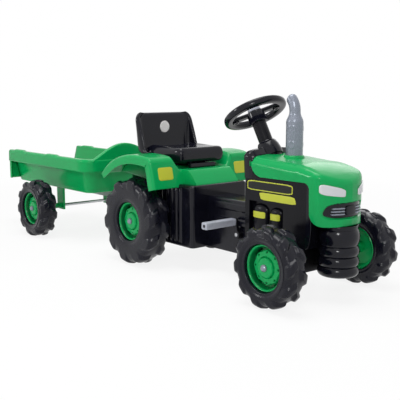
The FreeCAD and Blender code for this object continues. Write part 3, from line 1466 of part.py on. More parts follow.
def arch_face(drop):
    """Bow of the headboard above the rim, lowered by a drop."""
    left, right = Vector(0, half - drop, low), Vector(0, drop - half, low)
    return Part.Face(Part.Wire(path((right, Vector(0, 0, crest - drop), left), (left, right))))


board = arch_face(0).extrude(Vector(wall, 0, 0))
board.translate(Vector(front_x - wall, 0, 0))
flange = arch_face(0).cut(arch_face(wall)).extrude(Vector(over, 0, 0))
flange.translate(Vector(front_x - over, 0, 0))
finish("trailer_tub", solid("tub", tub.fuse([top, skirt, board, flange] + ears).removeSplitter()))

# Every object has to be sound before anything is written
doc.recompute()
for piece in doc.Objects:
    if "Invalid" in piece.State or "Error" in piece.State:
        raise RuntimeError(f"{piece.Label} did not build: {piece.State}")
for name, piece in finished.items():
    if piece.Shape.isNull() or not piece.Shape.isValid():
        raise RuntimeError(f"{name} has no sound shape")

os.makedirs("parts", exist_ok=True)
for name, piece in finished.items():
    piece.Shape.exportStep(f"parts/{name}.step")
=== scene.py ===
import json

import bmesh
import bpy
import numpy as np
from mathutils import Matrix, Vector


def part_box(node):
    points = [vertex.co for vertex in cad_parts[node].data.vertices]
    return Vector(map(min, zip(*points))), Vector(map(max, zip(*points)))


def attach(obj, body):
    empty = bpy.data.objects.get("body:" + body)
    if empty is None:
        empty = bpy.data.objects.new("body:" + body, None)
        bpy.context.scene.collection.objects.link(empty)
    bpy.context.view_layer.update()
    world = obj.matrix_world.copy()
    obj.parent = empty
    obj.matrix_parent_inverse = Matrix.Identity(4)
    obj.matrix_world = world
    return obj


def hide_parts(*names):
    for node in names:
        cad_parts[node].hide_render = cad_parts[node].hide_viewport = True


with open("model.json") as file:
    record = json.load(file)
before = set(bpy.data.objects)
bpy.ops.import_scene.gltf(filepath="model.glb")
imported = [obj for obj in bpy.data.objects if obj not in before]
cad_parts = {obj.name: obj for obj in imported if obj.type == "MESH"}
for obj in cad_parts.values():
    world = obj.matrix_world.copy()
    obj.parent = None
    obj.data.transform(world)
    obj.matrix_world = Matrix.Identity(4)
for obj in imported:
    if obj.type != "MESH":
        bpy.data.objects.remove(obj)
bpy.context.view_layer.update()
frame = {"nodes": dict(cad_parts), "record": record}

# Studio: a pale floor under soft light, with the camera where the photograph was taken from,
# low in front of the tractor's right front wheel.
def added(name, data, spot=(0, 0, 0), looking=None):
    """A new object in the scene, at a spot and turned to look along a direction."""
    thing = bpy.data.objects.new(name, data)
    thing.location = spot
    if looking is not None:
        thing.rotation_euler = looking.to_track_quat("-Z", "Y").to_euler()
    bpy.context.scene.collection.objects.link(thing)
    return thing


camera_turn, camera_dip = np.radians(49.9), np.radians(8.8)
camera_aim = Vector((-np.sin(camera_turn) * np.cos(camera_dip),
                     np.cos(camera_turn) * np.cos(camera_dip), -np.sin(camera_dip)))
lens = bpy.data.cameras.new("photo_camera")
lens.sensor_width, lens.lens = 36.0, 63.15
bpy.context.scene.camera = added("photo_camera", lens, (2.0608, -1.5497, 0.5898), camera_aim)
bpy.context.scene.view_settings.view_transform = "Standard"


def feed(node, feeds):
    """Gives each input of a shader node, by its name or number, a socket to link to or a plain value."""
    for key, value in feeds.items():
        if isinstance(value, bpy.types.NodeSocket):
            node.id_data.links.new(value, node.inputs[key])
        else:
            node.inputs[key].default_value = value
    return node


def shader_node(tree, kind, feeds, **settings):
    """A new shader node with its own settings and its inputs fed."""
    node = tree.nodes.new(f"ShaderNode{kind}")
    for key, value in settings.items():
        setattr(node, key, value)
    return feed(node, feeds)


def seen_directly(tree):
    """1 for rays from the camera, a mirror or a lens and 0 for light that bounces."""
    path = shader_node(tree, "LightPath", {}).outputs
    total = path["Is Camera Ray"]
    for kind in ("Is Glossy Ray", "Is Transmission Ray"):
        total = shader_node(tree, "Math", {0: total, 1: path[kind]}, operation="MAXIMUM").outputs[0]
    return total


room = bpy.data.worlds.new("white_room")
room.use_nodes = True
bpy.context.scene.world = room
room_tree = room.node_tree
room_level = shader_node(room_tree, "MapRange", {"Value": seen_directly(room_tree), "To Min": 0.30, "To Max": 1.0})
feed(room_tree.nodes["Background"], {"Color": (1, 1, 1, 1), "Strength": room_level.outputs[0]})

for lamp_name, lamp_spot, lamp_target, lamp_width, lamp_watts in (
        ("ceiling_softbox", (0.3, -0.4, 3.2), (0.1, 0, 0.2), 1.9, 62),
        ("key_softbox", (2.6, -2.6, 1.9), (0.3, 0, 0.3), 0.6, 32),
        ("side_softbox", (-1.6, -3.0, 1.5), (0.0, 0, 0.3), 0.6, 19),
        ("back_softbox", (-1.0, 3.0, 2.2), (0.2, 0, 0.3), 1.6, 14)):
    softbox = bpy.data.lights.new(lamp_name, "AREA")
    softbox.size, softbox.energy = lamp_width, lamp_watts
    added(lamp_name, softbox, lamp_spot, Vector(lamp_target) - Vector(lamp_spot))

floor_reach = 14.0
floor_mesh = bpy.data.meshes.new("studio_floor")
floor_mesh.from_pydata([(-floor_reach, -floor_reach, 0), (floor_reach, -floor_reach, 0),
                        (floor_reach, floor_reach, 0), (-floor_reach, floor_reach, 0)], [], [(0, 1, 2, 3)])
floor = added("studio_floor", floor_mesh)
paper = bpy.data.materials.new("studio_paper")
paper.use_nodes = True
paper_tree = paper.node_tree
paper_matt = feed(paper_tree.nodes["Principled BSDF"], {"Base Color": (0.95, 0.95, 0.95, 1), "Roughness": 0.9})
paper_glow = shader_node(paper_tree, "Emission", {})
paper_place = shader_node(paper_tree, "TexCoord", {})
paper_reach = shader_node(paper_tree, "VectorMath", {0: paper_place.outputs["Object"]}, operation="LENGTH")
paper_fade = shader_node(paper_tree, "MapRange", {"Value": paper_reach.outputs["Value"], "From Min": 0.8,
                                                  "From Max": 2.6, "To Min": 0.86, "To Max": 1.0})
paper_share = shader_node(paper_tree, "Math", {0: seen_directly(paper_tree), 1: paper_fade.outputs[0]},
                          operation="MULTIPLY")
paper_mix = shader_node(paper_tree, "MixShader", {0: paper_share.outputs[0], 1: paper_matt.outputs[0],
                                                  2: paper_glow.outputs[0]})
feed(paper_tree.nodes["Material Output"], {"Surface": paper_mix.outputs[0]})
floor_mesh.materials.append(paper)


# Tyres: hollow rings blow-moulded in black plastic, with two staggered rows of slanting lugs that
# end in scallops on the shoulders. Each is pushed over its rim.
def skin(points, close_rows, close_columns):
    """Quads between neighbouring points of a grid; a closed direction joins its last line to its first."""
    rows, columns = points.shape[:2]
    row = np.arange(rows if close_rows else rows - 1)[:, None]
    column = np.arange(columns if close_columns else columns - 1)[None, :]
    below, beside = (row + 1) % rows, (column + 1) % columns
    corners = (row * columns + column, below * columns + column,
               below * columns + beside, row * columns + beside)
    return points.reshape(-1, 3), np.stack(corners, -1).reshape(-1, 4)


def moulding(name, grids, finish, body, *nodes, wall=0, crease=38, inside=None):
    """One mesh from grids of points in millimetres, each an open sheet or (points, close rows, close columns,
    painted shade). Doubled points merge and a closed form turns its faces outwards; an open sheet turns away from the
    point inside and gets its wall on that side. A finish is a material with its slot."""
    points, faces, painted_shades, start = [], [], [], 0
    for grid in grids:
        grid, close_rows, close_columns, painted_shade = grid if isinstance(grid, tuple) else (grid, False, False, 0)
        grid_points, grid_faces = skin(grid, close_rows, close_columns)
        points.append(grid_points * 0.001)
        faces.append(grid_faces + start)
        painted_shades.append(np.broadcast_to(painted_shade, grid.shape[:2]).ravel())
        start += len(grid_points)
    mesh = bpy.data.meshes.new(name)
    mesh.from_pydata(np.vstack(points).tolist(), [], np.vstack(faces).tolist())
    mesh.attributes.new("painted_shade", "FLOAT", "POINT").data.foreach_set("value", np.concatenate(painted_shades))
    form = bmesh.new()
    form.from_mesh(mesh)
    bmesh.ops.remove_doubles(form, verts=form.verts, dist=2e-6)
    bmesh.ops.dissolve_degenerate(form, edges=form.edges, dist=1e-7)
    bmesh.ops.recalc_face_normals(form, faces=form.faces)
    form.to_mesh(mesh)
    form.free()
    if inside is not None:
        middles, normals = np.empty(len(mesh.polygons) * 3), np.empty(len(mesh.polygons) * 3)
        mesh.polygons.foreach_get("center", middles)
        mesh.polygons.foreach_get("normal", normals)
        away = middles.reshape(-1, 3) - np.asarray(inside) * 0.001
        if (away * normals.reshape(-1, 3)).sum() < 0:
            mesh.flip_normals()
    mesh.polygons.foreach_set("use_smooth", np.ones(len(mesh.polygons), bool))
    mesh.set_sharp_from_angle(angle=np.radians(crease))
    material, slot = finish
    mesh.materials.append(material)
    piece = added(name, mesh)
    if wall:
        thickness = piece.modifiers.new("wall", "SOLIDIFY")
        thickness.thickness, thickness.offset = wall * 0.001, -1
    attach(piece, body)
    if nodes:
        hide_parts(*nodes)


def eased(corners, rounds=3):
    """A smooth line from a rough one: every round cuts each corner a quarter of the way along both of its
    sides, and the two ends stay."""
    line = np.asarray(corners, float)
    for _ in range(rounds):
        cut = np.stack([line[:-1] * 0.75 + line[1:] * 0.25, line[:-1] * 0.25 + line[1:] * 0.75], 1)
        line = np.vstack([line[:1], cut.reshape(-1, line.shape[1]), line[-1:]])
    return line


def spaced(line, count):
    """The same line with points at equal steps along it."""
    along = np.concatenate([[0], np.cumsum(np.linalg.norm(np.diff(line, axis=0), axis=1))])
    wanted = np.linspace(0, along[-1], count)
    return np.stack([np.interp(wanted, along, part) for part in line.T], 1)


def ramp(way):
    """0 below 0, 1 above 1, and a soft S between."""
    way = np.clip(way, 0, 1)
    return way * way * (3 - 2 * way)


def steps(count):
    """Shares from 0 to 1 at equal steps."""
    return np.linspace(0, 1, count)


def placed(x, y, z):
    """Points from their three coordinates, stretched to one grid."""
    return np.stack(np.broadcast_arrays(x, y, z), -1)


def unit(vectors):
    """The same directions with length one."""
    return vectors / np.linalg.norm(vectors, axis=-1, keepdims=True)


def plastic(name, slot, colour, rough_low, rough_high, peel, shine, flow=0.10, peel_scale=420, metal=0.0):
    """Moulded plastic, or drawn metal: broad flow marks shift the colour, cloudy polish shifts the roughness and a
    fine ripple from the mould is the bump; the mesh's painted shade darkens recesses as shadow would. It comes with
    its slot."""
    material = bpy.data.materials.new(name)
    material.use_nodes = True
    tree = material.node_tree
    place = shader_node(tree, "TexCoord", {}).outputs["Object"]

    def cloud(scale, detail):
        return shader_node(tree, "TexNoise", {"Vector": place, "Scale": scale, "Detail": detail}).outputs["Fac"]

    def toned(share):
        return (*[min(part * share, 1) for part in colour], 1)

    tint = shader_node(tree, "Mix", {0: cloud(7, 3), 6: toned(1 - flow), 7: toned(1 + flow)}, data_type="RGBA")
    # Painted shade: where the mesh's painted_shade attribute is 1, the colour falls to 12 per cent of itself in place
    # of shadow.
    painted_shade = shader_node(tree, "Attribute", {}, attribute_name="painted_shade")
    painted_shade_mix = shader_node(tree, "Mix", {0: painted_shade.outputs["Fac"], 6: tint.outputs[2], 7: toned(0.12)}, data_type="RGBA")
    polish = shader_node(tree, "MapRange", {"Value": cloud(38, 4), "From Min": 0.3, "From Max": 0.7,
                                            "To Min": rough_low, "To Max": rough_high})
    ripple = shader_node(tree, "Bump", {"Height": cloud(peel_scale, 2), "Strength": peel, "Distance": 0.0006})
    feed(tree.nodes["Principled BSDF"], {
        "Base Color": painted_shade_mix.outputs[2], "Roughness": polish.outputs[0], "Normal": ripple.outputs[0],
        "Specular IOR Level": shine, "Metallic": metal})
    return material, slot


# The slight blue cast in this black is a painted reflection; the black itself is the plastic's own.
tyre_black = plastic("tyre_black", "tyre_plastic", (0.0062, 0.0064, 0.0125), 0.19, 0.3, 0.08, 0.25, flow=0.25)
bead_radius, lug_rise, lugs_round, steps_per_lug = 66, 8.5, 10, 34


def tyre_form(half_width, radius, centre):
    """A half section from crown to bead, mirrored and carried round the axle. A point's offset and radius
    move out along the section's normal by the lug height, which is one inside a lug's share of the pitch
    and fades to nothing at the crown line and down the side wall. Columns lean with the lugs."""
    crown, middle = radius - lug_rise, (radius + bead_radius) / 2
    half = spaced(eased([(0, crown), (0.36 * half_width, crown - 0.3), (0.7 * half_width, crown - 2.5),
                         (0.9 * half_width, crown - 11), (0.98 * half_width, crown - 25),
                         (half_width, middle - 2), (0.97 * half_width, bead_radius + 13),
                         (0.88 * half_width, bead_radius + 8), (0.9 * half_width, bead_radius + 4),
                         (0.86 * half_width, bead_radius + 0.6), (half_width - 16, bead_radius + 0.4)]), 48)
    lean = unit(np.gradient(half, axis=0))
    offset, reach, out_side, out_reach, way = (
        np.concatenate([flip * part[:0:-1], part])[:, None]
        for flip, part in ((-1, half[:, 0]), (1, half[:, 1]), (-1, -lean[:, 1]), (1, lean[:, 0]),
                           (1, steps(len(half)))))
    pitch = np.arange(lugs_round * steps_per_lug)[None, :] / steps_per_lug
    place = (pitch + np.where(offset < 0, 0.5, 0.0)) % 1 - 0.5
    lug = ramp((0.27 + 0.24 * way - np.abs(place)) / 0.2)
    rise = lug_rise * lug * ramp((way - 0.02) / 0.09) * (1 - ramp((way - 0.3) / 0.27))
    angle = 2 * np.pi * (pitch + 0.85 * way) / lugs_round
    reach_now = np.minimum(reach + out_reach * rise, radius)
    offset_now = np.clip(offset + out_side * rise, -half_width, half_width)
    return placed(centre[0] + reach_now * np.sin(angle), centre[1] + offset_now,
                  centre[2] + reach_now * np.cos(angle))


wheels = [(axle, hand, side, body, axle_x, axle_z, half_width, radius, track)
          for axle, axle_x, axle_z, half_width, radius, track, bodies in (
              ("rear", 97.5, 150, 43, 150, 183, ("driven_axle", "right_rear_wheel")),
              ("front", 756.5, 116, 38, 116, 203, ("left_front_wheel", "right_front_wheel")),
              ("trailer", -552.5, 116, 38, 116, 226, ("left_trailer_wheel", "right_trailer_wheel")))
          for hand, side, body in zip(("left", "right"), (1, -1), bodies)]
for axle, hand, side, body, axle_x, axle_z, half_width, radius, track in wheels:
    moulding(f"{axle}_tyre_{hand}_skin",
             [(tyre_form(half_width, radius, (axle_x, side * track, axle_z)), True, True, 0)],
             tyre_black, body, f"{axle}_tyre_{hand}", crease=45)

# Rims: green discs moulded in one piece, with a bright rolled lip, four crescent slots in the dish wall, a
# lobed plate with eight bolt holes and a raised hub. They snap into the tyres' beads.
gloss_green = plastic("gloss_green", "green_plastic", (0.002, 0.38, 0.098), 0.15, 0.25, 0.04, 0.2, flow=0.05)
rim_radii = np.unique(np.concatenate([np.linspace(8, 26, 10), np.linspace(26, 33, 12), np.linspace(33, 40, 10),
                                      np.linspace(40, 50, 16), np.linspace(50, 59, 14),
                                      np.linspace(59, 66, 10)]))
rim_turns, rim_set_in, rim_back_in, bolt_circle = 192, 14, 6, 43


def circle(count):
    """Angles at equal steps round a full turn."""
    return 2 * np.pi * np.arange(count) / count


def rim_form(face, back, centre, side):
    """A disc in polar parameters. Its front depth is a lip, a sloping wall, a floor, a lobed plate whose edge
    waves eight times, a groove and a hub; slots and bolt holes sink further. The back is a plain dish.
    Painted shade darkens the slots, the bolt holes and the channel inside the lip."""
    radius = rim_radii[:, None]
    angle = circle(rim_turns)[None, :]
    depth = np.interp(rim_radii, [8, 12, 25, 28, 29.5, 31, 48, 54, 59, 61.5, 63.5, 65, 66],
                      [3, 3, 4, 6.5, 14, 18, 20, 20, 5, 0.8, 0, 1.2, 4])[:, None]
    lobe = 48.5 + 1.6 * np.cos(8 * angle)
    plate = ramp((lobe - radius) / 2.2) * ramp((radius - 29.5) / 2.0)
    bolt_x, bolt_turn = radius - bolt_circle, (angle + np.pi / 8) % (np.pi / 4) - np.pi / 8
    bolt = 1 - ramp((np.hypot(bolt_x, bolt_circle * bolt_turn) - 2.2) / 1.4)
    slot_turn = (angle % (np.pi / 2)) - np.pi / 4
    slot = ramp((np.radians(21) - np.abs(slot_turn)) / 0.09)
    slot = slot * ramp((radius - 49.8) / 1.2) * ramp((57.2 - radius) / 1.2)
    front = face - (depth - 7.5 * plate + 4.5 * bolt * plate + 9 * slot)
    rear = back + np.interp(rim_radii, [8, 16, 18, 52, 58, 63, 66], [3, 3, 22, 22, 4, 0, 3])[:, None]
    # Painted shade: the channel inside the lip is darkened as the tyre's shadow, and slots and bolt holes as shadow
    # in their hollows.
    channel = 0.78 * ramp((radius - lobe) / 2.0) * ramp((61 - radius) / 3.0)
    painted_shade = np.maximum(np.maximum(bolt * plate, slot), channel)
    x, z = centre[0] + radius * np.sin(angle), centre[1] + radius * np.cos(angle)
    points = np.concatenate([placed(x, side * front, z), placed(x, side * rear, z)[::-1]])
    return points, True, True, np.concatenate([painted_shade, np.zeros_like(painted_shade)])


for axle, hand, side, body, axle_x, axle_z, half_width, radius, track in wheels:
    moulding(f"{axle}_rim_{hand}_skin",
             [rim_form(track + half_width - rim_set_in, track - half_width + rim_back_in, (axle_x, axle_z), side)],
             gloss_green, body, f"{axle}_rim_{hand}", crease=50)

# Lower body: the black seat box and the leg tunnel, blow-moulded in one hollow form that is open below.
# Upright ribs stiffen the box beside the rear wheels and two level ones run along the tunnel.
# The slight blue cast in this black is a painted reflection; the black itself is the plastic's own.
gloss_black = plastic("gloss_black", "black_plastic", (0.004, 0.0042, 0.009), 0.12, 0.2, 0.04, 0.28, flow=0.2)
box_rear, box_front, box_half, box_top, body_foot = -2.5, 327.5, 122, 286, 80
box_corner, box_roll, rib_rise, rib_pitch, rib_start, rib_half_run = 30, 8, 4.6, 22, 164, 55
box_spine, tunnel_rib_rise, tunnel_ribs = (100, 225), 5, ((166, 192), (214, 240))
tunnel_front, tunnel_half, tunnel_top, tunnel_shoulder = 545.5, 55, 250, 24


def quarter(count):
    """Angles at equal steps through a quarter turn, both ends included."""
    return np.linspace(0, np.pi / 2, count)


def mirrored(line, flip):
    """A line that ends on the centre plane, followed by its mirror image back from there."""
    return np.vstack([line, line[-2::-1] * flip])


def seat_box_form():
    """A rounded plan outline carried up to a rolled edge and in to a spine under the deck. On its long sides
    five upright ribs stand out as a cosine wave that dies away at the foot and the top."""
    side = eased([(box_rear, 0), (box_rear, 90), (box_rear, box_half), (box_rear + box_corner, box_half),
                  (box_front - box_corner, box_half), (box_front, box_half), (box_front, box_half - box_corner),
                  (box_front, 0)], 4)
    plan = mirrored(spaced(side, 260), [1, -1])[:-1]
    x, y = plan[:, 0], plan[:, 1]
    rise, bend, run = steps(40)[:, None], quarter(7)[1:, None], steps(9)[1:, None]
    wall_top = box_top - box_roll
    height = np.concatenate([body_foot + (wall_top - body_foot) * rise, wall_top + box_roll * np.sin(bend),
                             box_top + 0 * run])
    draw = np.concatenate([0 * rise, box_roll * (1 - np.cos(bend)), 0 * run + box_roll])
    spine = np.stack([np.clip(x, *box_spine), 0 * y], 1)
    inward = unit(spine - plan)
    inset = plan[None] + inward[None] * draw[..., None]
    last = len(rise) + len(bend)
    inset[last:] = inset[last - 1] + (spine - inset[last - 1]) * run[..., None]
    rib = rib_rise * (0.5 - 0.5 * np.cos(2 * np.pi * (x - rib_start) / rib_pitch))
    rib = rib * (np.abs(x - rib_start - rib_half_run) < rib_half_run) * (np.abs(y) > box_half - 2)
    stand = rib * ramp((height - body_foot - 8) / 14) * ramp((box_top - 10 - height) / 14)
    return placed(inset[..., 0], inset[..., 1] + np.sign(y) * stand, height)


def tunnel_form():
    """A section of two upright sides with rounded shoulders is carried forward; two level ribs stand out of each
    side and fade in ahead of the seat box."""
    half = spaced(eased([(tunnel_half, body_foot), (tunnel_half, 150), (tunnel_half, tunnel_top - tunnel_shoulder),
                         (tunnel_half, tunnel_top), (tunnel_half - tunnel_shoulder, tunnel_top),
                         (0, tunnel_top)], 4), 130)
    y, z = mirrored(half, [-1, 1]).T
    x = np.linspace(box_front - 6, tunnel_front, 41)[:, None]
    stand = sum(ramp((z - low) / 6) * ramp((high - z) / 6) for low, high in tunnel_ribs)
    out = tunnel_rib_rise * stand * (np.abs(y) > tunnel_half - 4) * ramp((x - box_front - 22) / 16)
    return placed(x, y + np.sign(y) * out, z)


moulding("seat_box_skin", [(seat_box_form(), False, True, 0)], gloss_black, "chassis", "lower_body", wall=3,
         inside=(150, 0, 180), crease=50)
moulding("tunnel_skin", [tunnel_form()], gloss_black, "chassis", wall=3, inside=(420, 0, 160), crease=50)

# Pedals: silver-grey channel bars with softened edges and a pair of rivets near each end, moulded round a bore
# that runs on the crank's pin.
pedal_silver = plastic("pedal_silver", "grey_plastic", (0.42, 0.44, 0.51), 0.24, 0.36, 0.012, 0.5, flow=0.05)
rivet_radius, rivet_rise = 3.4, 1.6


def bar_form(low, high, sink=0.0):
    """A rounded square section carried across; it draws in on a quarter circle at both ends, which close in the
    middle, and a shallow channel may be sunk along its four faces."""
    middle, half = (low + high) / 2, (high - low) / 2
    turn, bend = circle(64), quarter(7)
    draw = np.concatenate([[1], 0.12 * (1 - np.sin(bend)), np.zeros(24), 0.12 * (1 - np.cos(bend)), [1]])
    along = np.concatenate([[-half[1]], -half[1] + 3 * (1 - np.cos(bend)), np.linspace(3 - half[1], half[1] - 3, 24),
                            half[1] - 3 + 3 * np.sin(bend), [half[1]]])
    reach = (np.abs(np.cos(turn)) ** 6 + np.abs(np.sin(turn)) ** 6) ** (-1 / 6)
    channel = (np.abs(along) < half[1] - 14)[:, None] * (np.cos(turn * 4) > 0.25) * sink
    size = (1 - draw)[:, None] * (1 - channel)
    return placed(middle[0] + half[0] * reach * np.cos(turn) * size, middle[1] + along[:, None],
                  middle[2] + half[2] * reach * np.sin(turn) * size), False, True, 0


def arc_drop(way):
    """How far a quarter circle has dropped at a share of its radius: nothing at 0 and one from 1 on."""
    return 1 - np.sqrt(1 - np.clip(way, 0, 1) ** 2)


def rivet_form(spot):
    """A low dome on a pedal's front face: a circle whose height is the root of what is left of its radius."""
    reach, turn = rivet_radius * np.linspace(1, 0, 6)[:, None], circle(20)
    return placed(spot[0] + rivet_rise * (1 - arc_drop(reach / rivet_radius)), spot[1] + reach * np.cos(turn),
                  spot[2] + reach * np.sin(turn)), False, True, 0


for hand in ("left", "right"):
    pedal_low, pedal_high = (np.array(corner) * 1000 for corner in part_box(f"pedal_{hand}"))
    pedal_low, pedal_high = pedal_low + [1, 0, 1], pedal_high - [1, 0, 1]
    rivets = [rivet_form((pedal_high[0] - 0.2, place, (pedal_low[2] + pedal_high[2]) / 2 + level))
              for place in (pedal_low[1] + 8, pedal_high[1] - 8) for level in (-5, 5)]
    moulding(f"pedal_{hand}_skin", [bar_form(pedal_low, pedal_high, 0.06), *rivets], pedal_silver, f"{hand}_pedal",
             f"pedal_{hand}", crease=40)

# Bonnet: one green shell with rolled edges, a falling crest and a bowed nose that reaches down over the
# radiator, with a sunk slot for the grille. It is screwed to the engine housing from inside.
bonnet_rear, bonnet_crown_end, bonnet_nose, bonnet_half, band_rear = 571.5, 727.5, 871.5, 100, 801
bonnet_top, bonnet_side_foot, chin_top, chin_depth = 404, 341, 262, 40
heel_radius, step_radius, chin_radius, bonnet_roll, nose_roll, spine_front = 46, 20, 44, 24, 11, 800
slow_fall, nose_fall, crown_rise = 12, 47, 7
grille_middle, grille_half_height, grille_half_width, grille_sink = 266, 22.5, 89, 7


def bonnet_crest(x, y):
    """Height of the crest: a slow straight fall, then a curve that steepens to the nose, less a slight crown."""
    fall = np.clip((x - bonnet_crown_end) / (bonnet_nose - bonnet_crown_end), 0, 1)
    slow = slow_fall * np.clip((x - bonnet_rear) / (bonnet_crown_end - bonnet_rear), 0, 1)
    return bonnet_top - slow - nose_fall * fall ** 2.3 - crown_rise * (y / bonnet_half) ** 2


def bonnet_lower(x):
    """Height of the lower edge: a round heel, a level side, a drop behind the nose band and a round chin."""
    heel = bonnet_side_foot + heel_radius * arc_drop((bonnet_rear + heel_radius - x) / heel_radius)
    step = bonnet_side_foot - step_radius * arc_drop((x - band_rear + step_radius) / step_radius)
    chin = chin_top - chin_depth * (1 - arc_drop((band_rear + chin_radius - x) / chin_radius))
    return np.where(x > band_rear, chin, np.where(x > band_rear - step_radius, step, heel))


def grille_slot(y, z):
    """1 inside the grille's long lozenge, whose rounded ends lean in towards the top, 0 outside, with a soft edge."""
    across = np.abs(y) / (grille_half_width - 0.45 * np.clip(z - grille_middle + 4, 0, 30))
    return ramp((1 - across ** 5 - (np.abs(z - grille_middle) / grille_half_height) ** 4) / 0.25)


def bonnet_form():
    """The plan outline runs from one rear corner round the nose to the other. From its lower edge the skin
    goes up, rolls over by a quarter turn and runs in to a spine on the centre plane, on the crest height."""
    side = eased([(bonnet_rear, bonnet_half), (780, bonnet_half), (822, 98), (840, 82), (857, 59), (867.5, 31),
                  (bonnet_nose, 0)])
    plan = spaced(mirrored(side, [1, -1]), 401)
    x, y = plan[:, 0], plan[:, 1]
    spine = np.stack([np.minimum(x, spine_front), 0 * x], 1)
    inward, width = unit(spine - plan), np.linalg.norm(spine - plan, axis=1)
    roll = bonnet_roll + (nose_roll - bonnet_roll) * ramp((x - 785) / 50)
    rise, bend, run = steps(56)[:, None], quarter(11)[1:, None], steps(16)[1:, None]
    reach = np.concatenate([0 * rise * x, roll * (1 - np.cos(bend)), roll + (width - roll) * run])
    flat_x, flat_y = x + inward[:, 0] * reach, y + inward[:, 1] * reach
    crest = bonnet_crest(flat_x, flat_y)
    wall_top = bonnet_crest(x, y) - roll
    wall = bonnet_lower(x) + (wall_top - bonnet_lower(x)) * rise
    height = np.concatenate([wall, crest[len(rise):len(rise) + len(bend)] - roll * (1 - np.sin(bend)),
                             crest[len(rise) + len(bend):]])
    sunk = grille_sink * grille_slot(flat_y, height) * (flat_x > 790)
    return placed(flat_x + inward[:, 0] * sunk, flat_y + inward[:, 1] * sunk, height)


moulding("bonnet_shell", [bonnet_form()], gloss_green, "chassis", "bonnet", wall=3.5, inside=(700, 0, 250))

# Dash surround: the black cowl of the engine housing that stands round the bonnet's rear edge, moulded with the
# housing and rolled over towards the driver. A bell-shaped collar grows out of it round the steering column.
surround_rear, surround_front, surround_roll, surround_climb = 537.5, 577.0, 9, 14


def surround_form():
    """The bonnet's rear section, widened and raised a little, is a path up one side, over the top and down the
    other. Its profile climbs from the bonnet, runs back, rolls over by a quarter turn and goes inwards."""
    half = spaced(eased([(96.2, 334), (96.6, 350), (98.5, 372), (99.5, 410), (60, 419), (0, 421)], 4), 60)
    path = mirrored(half, [-1, 1])
    lean = unit(np.gradient(path, axis=0))
    inward = np.stack([-lean[:, 1], lean[:, 0]], 1)
    bend = quarter(9)
    x = np.concatenate([surround_front - surround_climb * np.sin(bend),
                        surround_rear + surround_roll * (1 - np.sin(bend)), np.full(4, surround_rear)])
    share = np.concatenate([1 - np.sin(bend), 0 * bend, np.zeros(4)])
    depth = np.concatenate([0 * bend, surround_roll * (1 - np.cos(bend)), np.linspace(12, 26, 4)])
    stand = (2 + 15 * ramp((path[:, 1] - 385) / 30))[None] * share[:, None]
    points = path[None] + inward[None] * (depth[:, None] + stand)[..., None]
    return placed(x[:, None], points[..., 0], points[..., 1])


moulding("dash_surround", [surround_form()], gloss_black, "chassis", wall=2.5, inside=(600, 0, 330), crease=50)

# Grille and headlamps: a black tray with silver bars set into the nose slot, and two white lenses glued
# on under the brow; all of them follow the bow of the nose.
nose_centre, nose_radius = 749.3, 122.2


def nose_pad(y_low, y_high, z_low, z_high, lift, thick, round_power, slant=0.0, flare=0.0, count=(40, 24)):
    """A pad bent round the nose: a square grid pressed into a rounded rectangle that may slant and flare, its
    front swelling towards the middle; depth is measured square to the nose's arc."""
    across, up = np.meshgrid(np.linspace(-1, 1, count[0]), np.linspace(-1, 1, count[1]), indexing="ij")
    corner = 1 - np.abs(across * up) ** round_power * 0.22
    y = (y_low + y_high) / 2 + (y_high - y_low) / 2 * across * corner
    z = (z_low + z_high) / 2 + (z_high - z_low) / 2 * up * corner * (1 + flare * across) + slant * across
    edge = np.maximum(np.abs(across), np.abs(up))
    front = lift + thick * (1 - arc_drop((edge - 0.86) / 0.14))
    turn = np.arcsin(np.clip(y / nose_radius, -0.98, 0.98))
    return [placed(nose_centre + reach * np.cos(turn), reach * np.sin(turn), z)
            for reach in (nose_radius + front, nose_radius + lift)]


silver_plastic = plastic("silver_plastic", "grey_plastic", (0.24, 0.265, 0.32), 0.22, 0.34, 0.012, 0.5, flow=0.05,
                         metal=0.3)
lamp_white = plastic("lamp_white", "lamp_white", (0.70, 0.71, 0.74), 0.1, 0.22, 0.05, 0.5, flow=0.04)
moulding("grille_tray", nose_pad(-86, 86, 246, 287, -6.8, 1.2, 4), gloss_black, "chassis", "grille_insert")
bars = []
for side in (1, -1):
    for level in (257, 265, 273):
        y_low, y_high = sorted((side * 24, side * (68 - abs(level - 262) * 0.4)))
        bars += nose_pad(y_low, y_high, level - 2.2, level + 2.2, -5.4, 4.6, 3, count=(30, 10))
moulding("grille_bars", bars, silver_plastic, "chassis")
moulding("grille_badge_plate", nose_pad(-20, 20, 252, 280, -5.5, 4.2, 5), gloss_black, "chassis")
lenses = []
for side in (1, -1):
    y_low, y_high = sorted((side * 26, side * 92))
    lenses += nose_pad(y_low, y_high, 308, 334.5, 0.2, 3.0, 5, slant=side * 6.5, flare=side * 0.16, count=(48, 26))
moulding("headlamp_glass", lenses, lamp_white, "chassis", "headlamp_lenses")

# Radiator drum: a black barrel of four bulging rings under the nose, rounded in at the foot, blow-moulded
# in one and pushed against the front of the engine housing between two cheeks that carry the nose band.
drum_middle, drum_radius, drum_rear, drum_top = 828.5, 59, 787.5, 221.7
ring_breaks, ring_swell, neck_draw, foot_round = (210, 162, 133, 104, 74), 7, 6.0, 18
cheek_rear, cheek_front, cheek_foot, cheek_top, cheek_side = 780, 806, 152, 345, 94.8
cheek_cut_width, cheek_cut_height = 18.5, 70


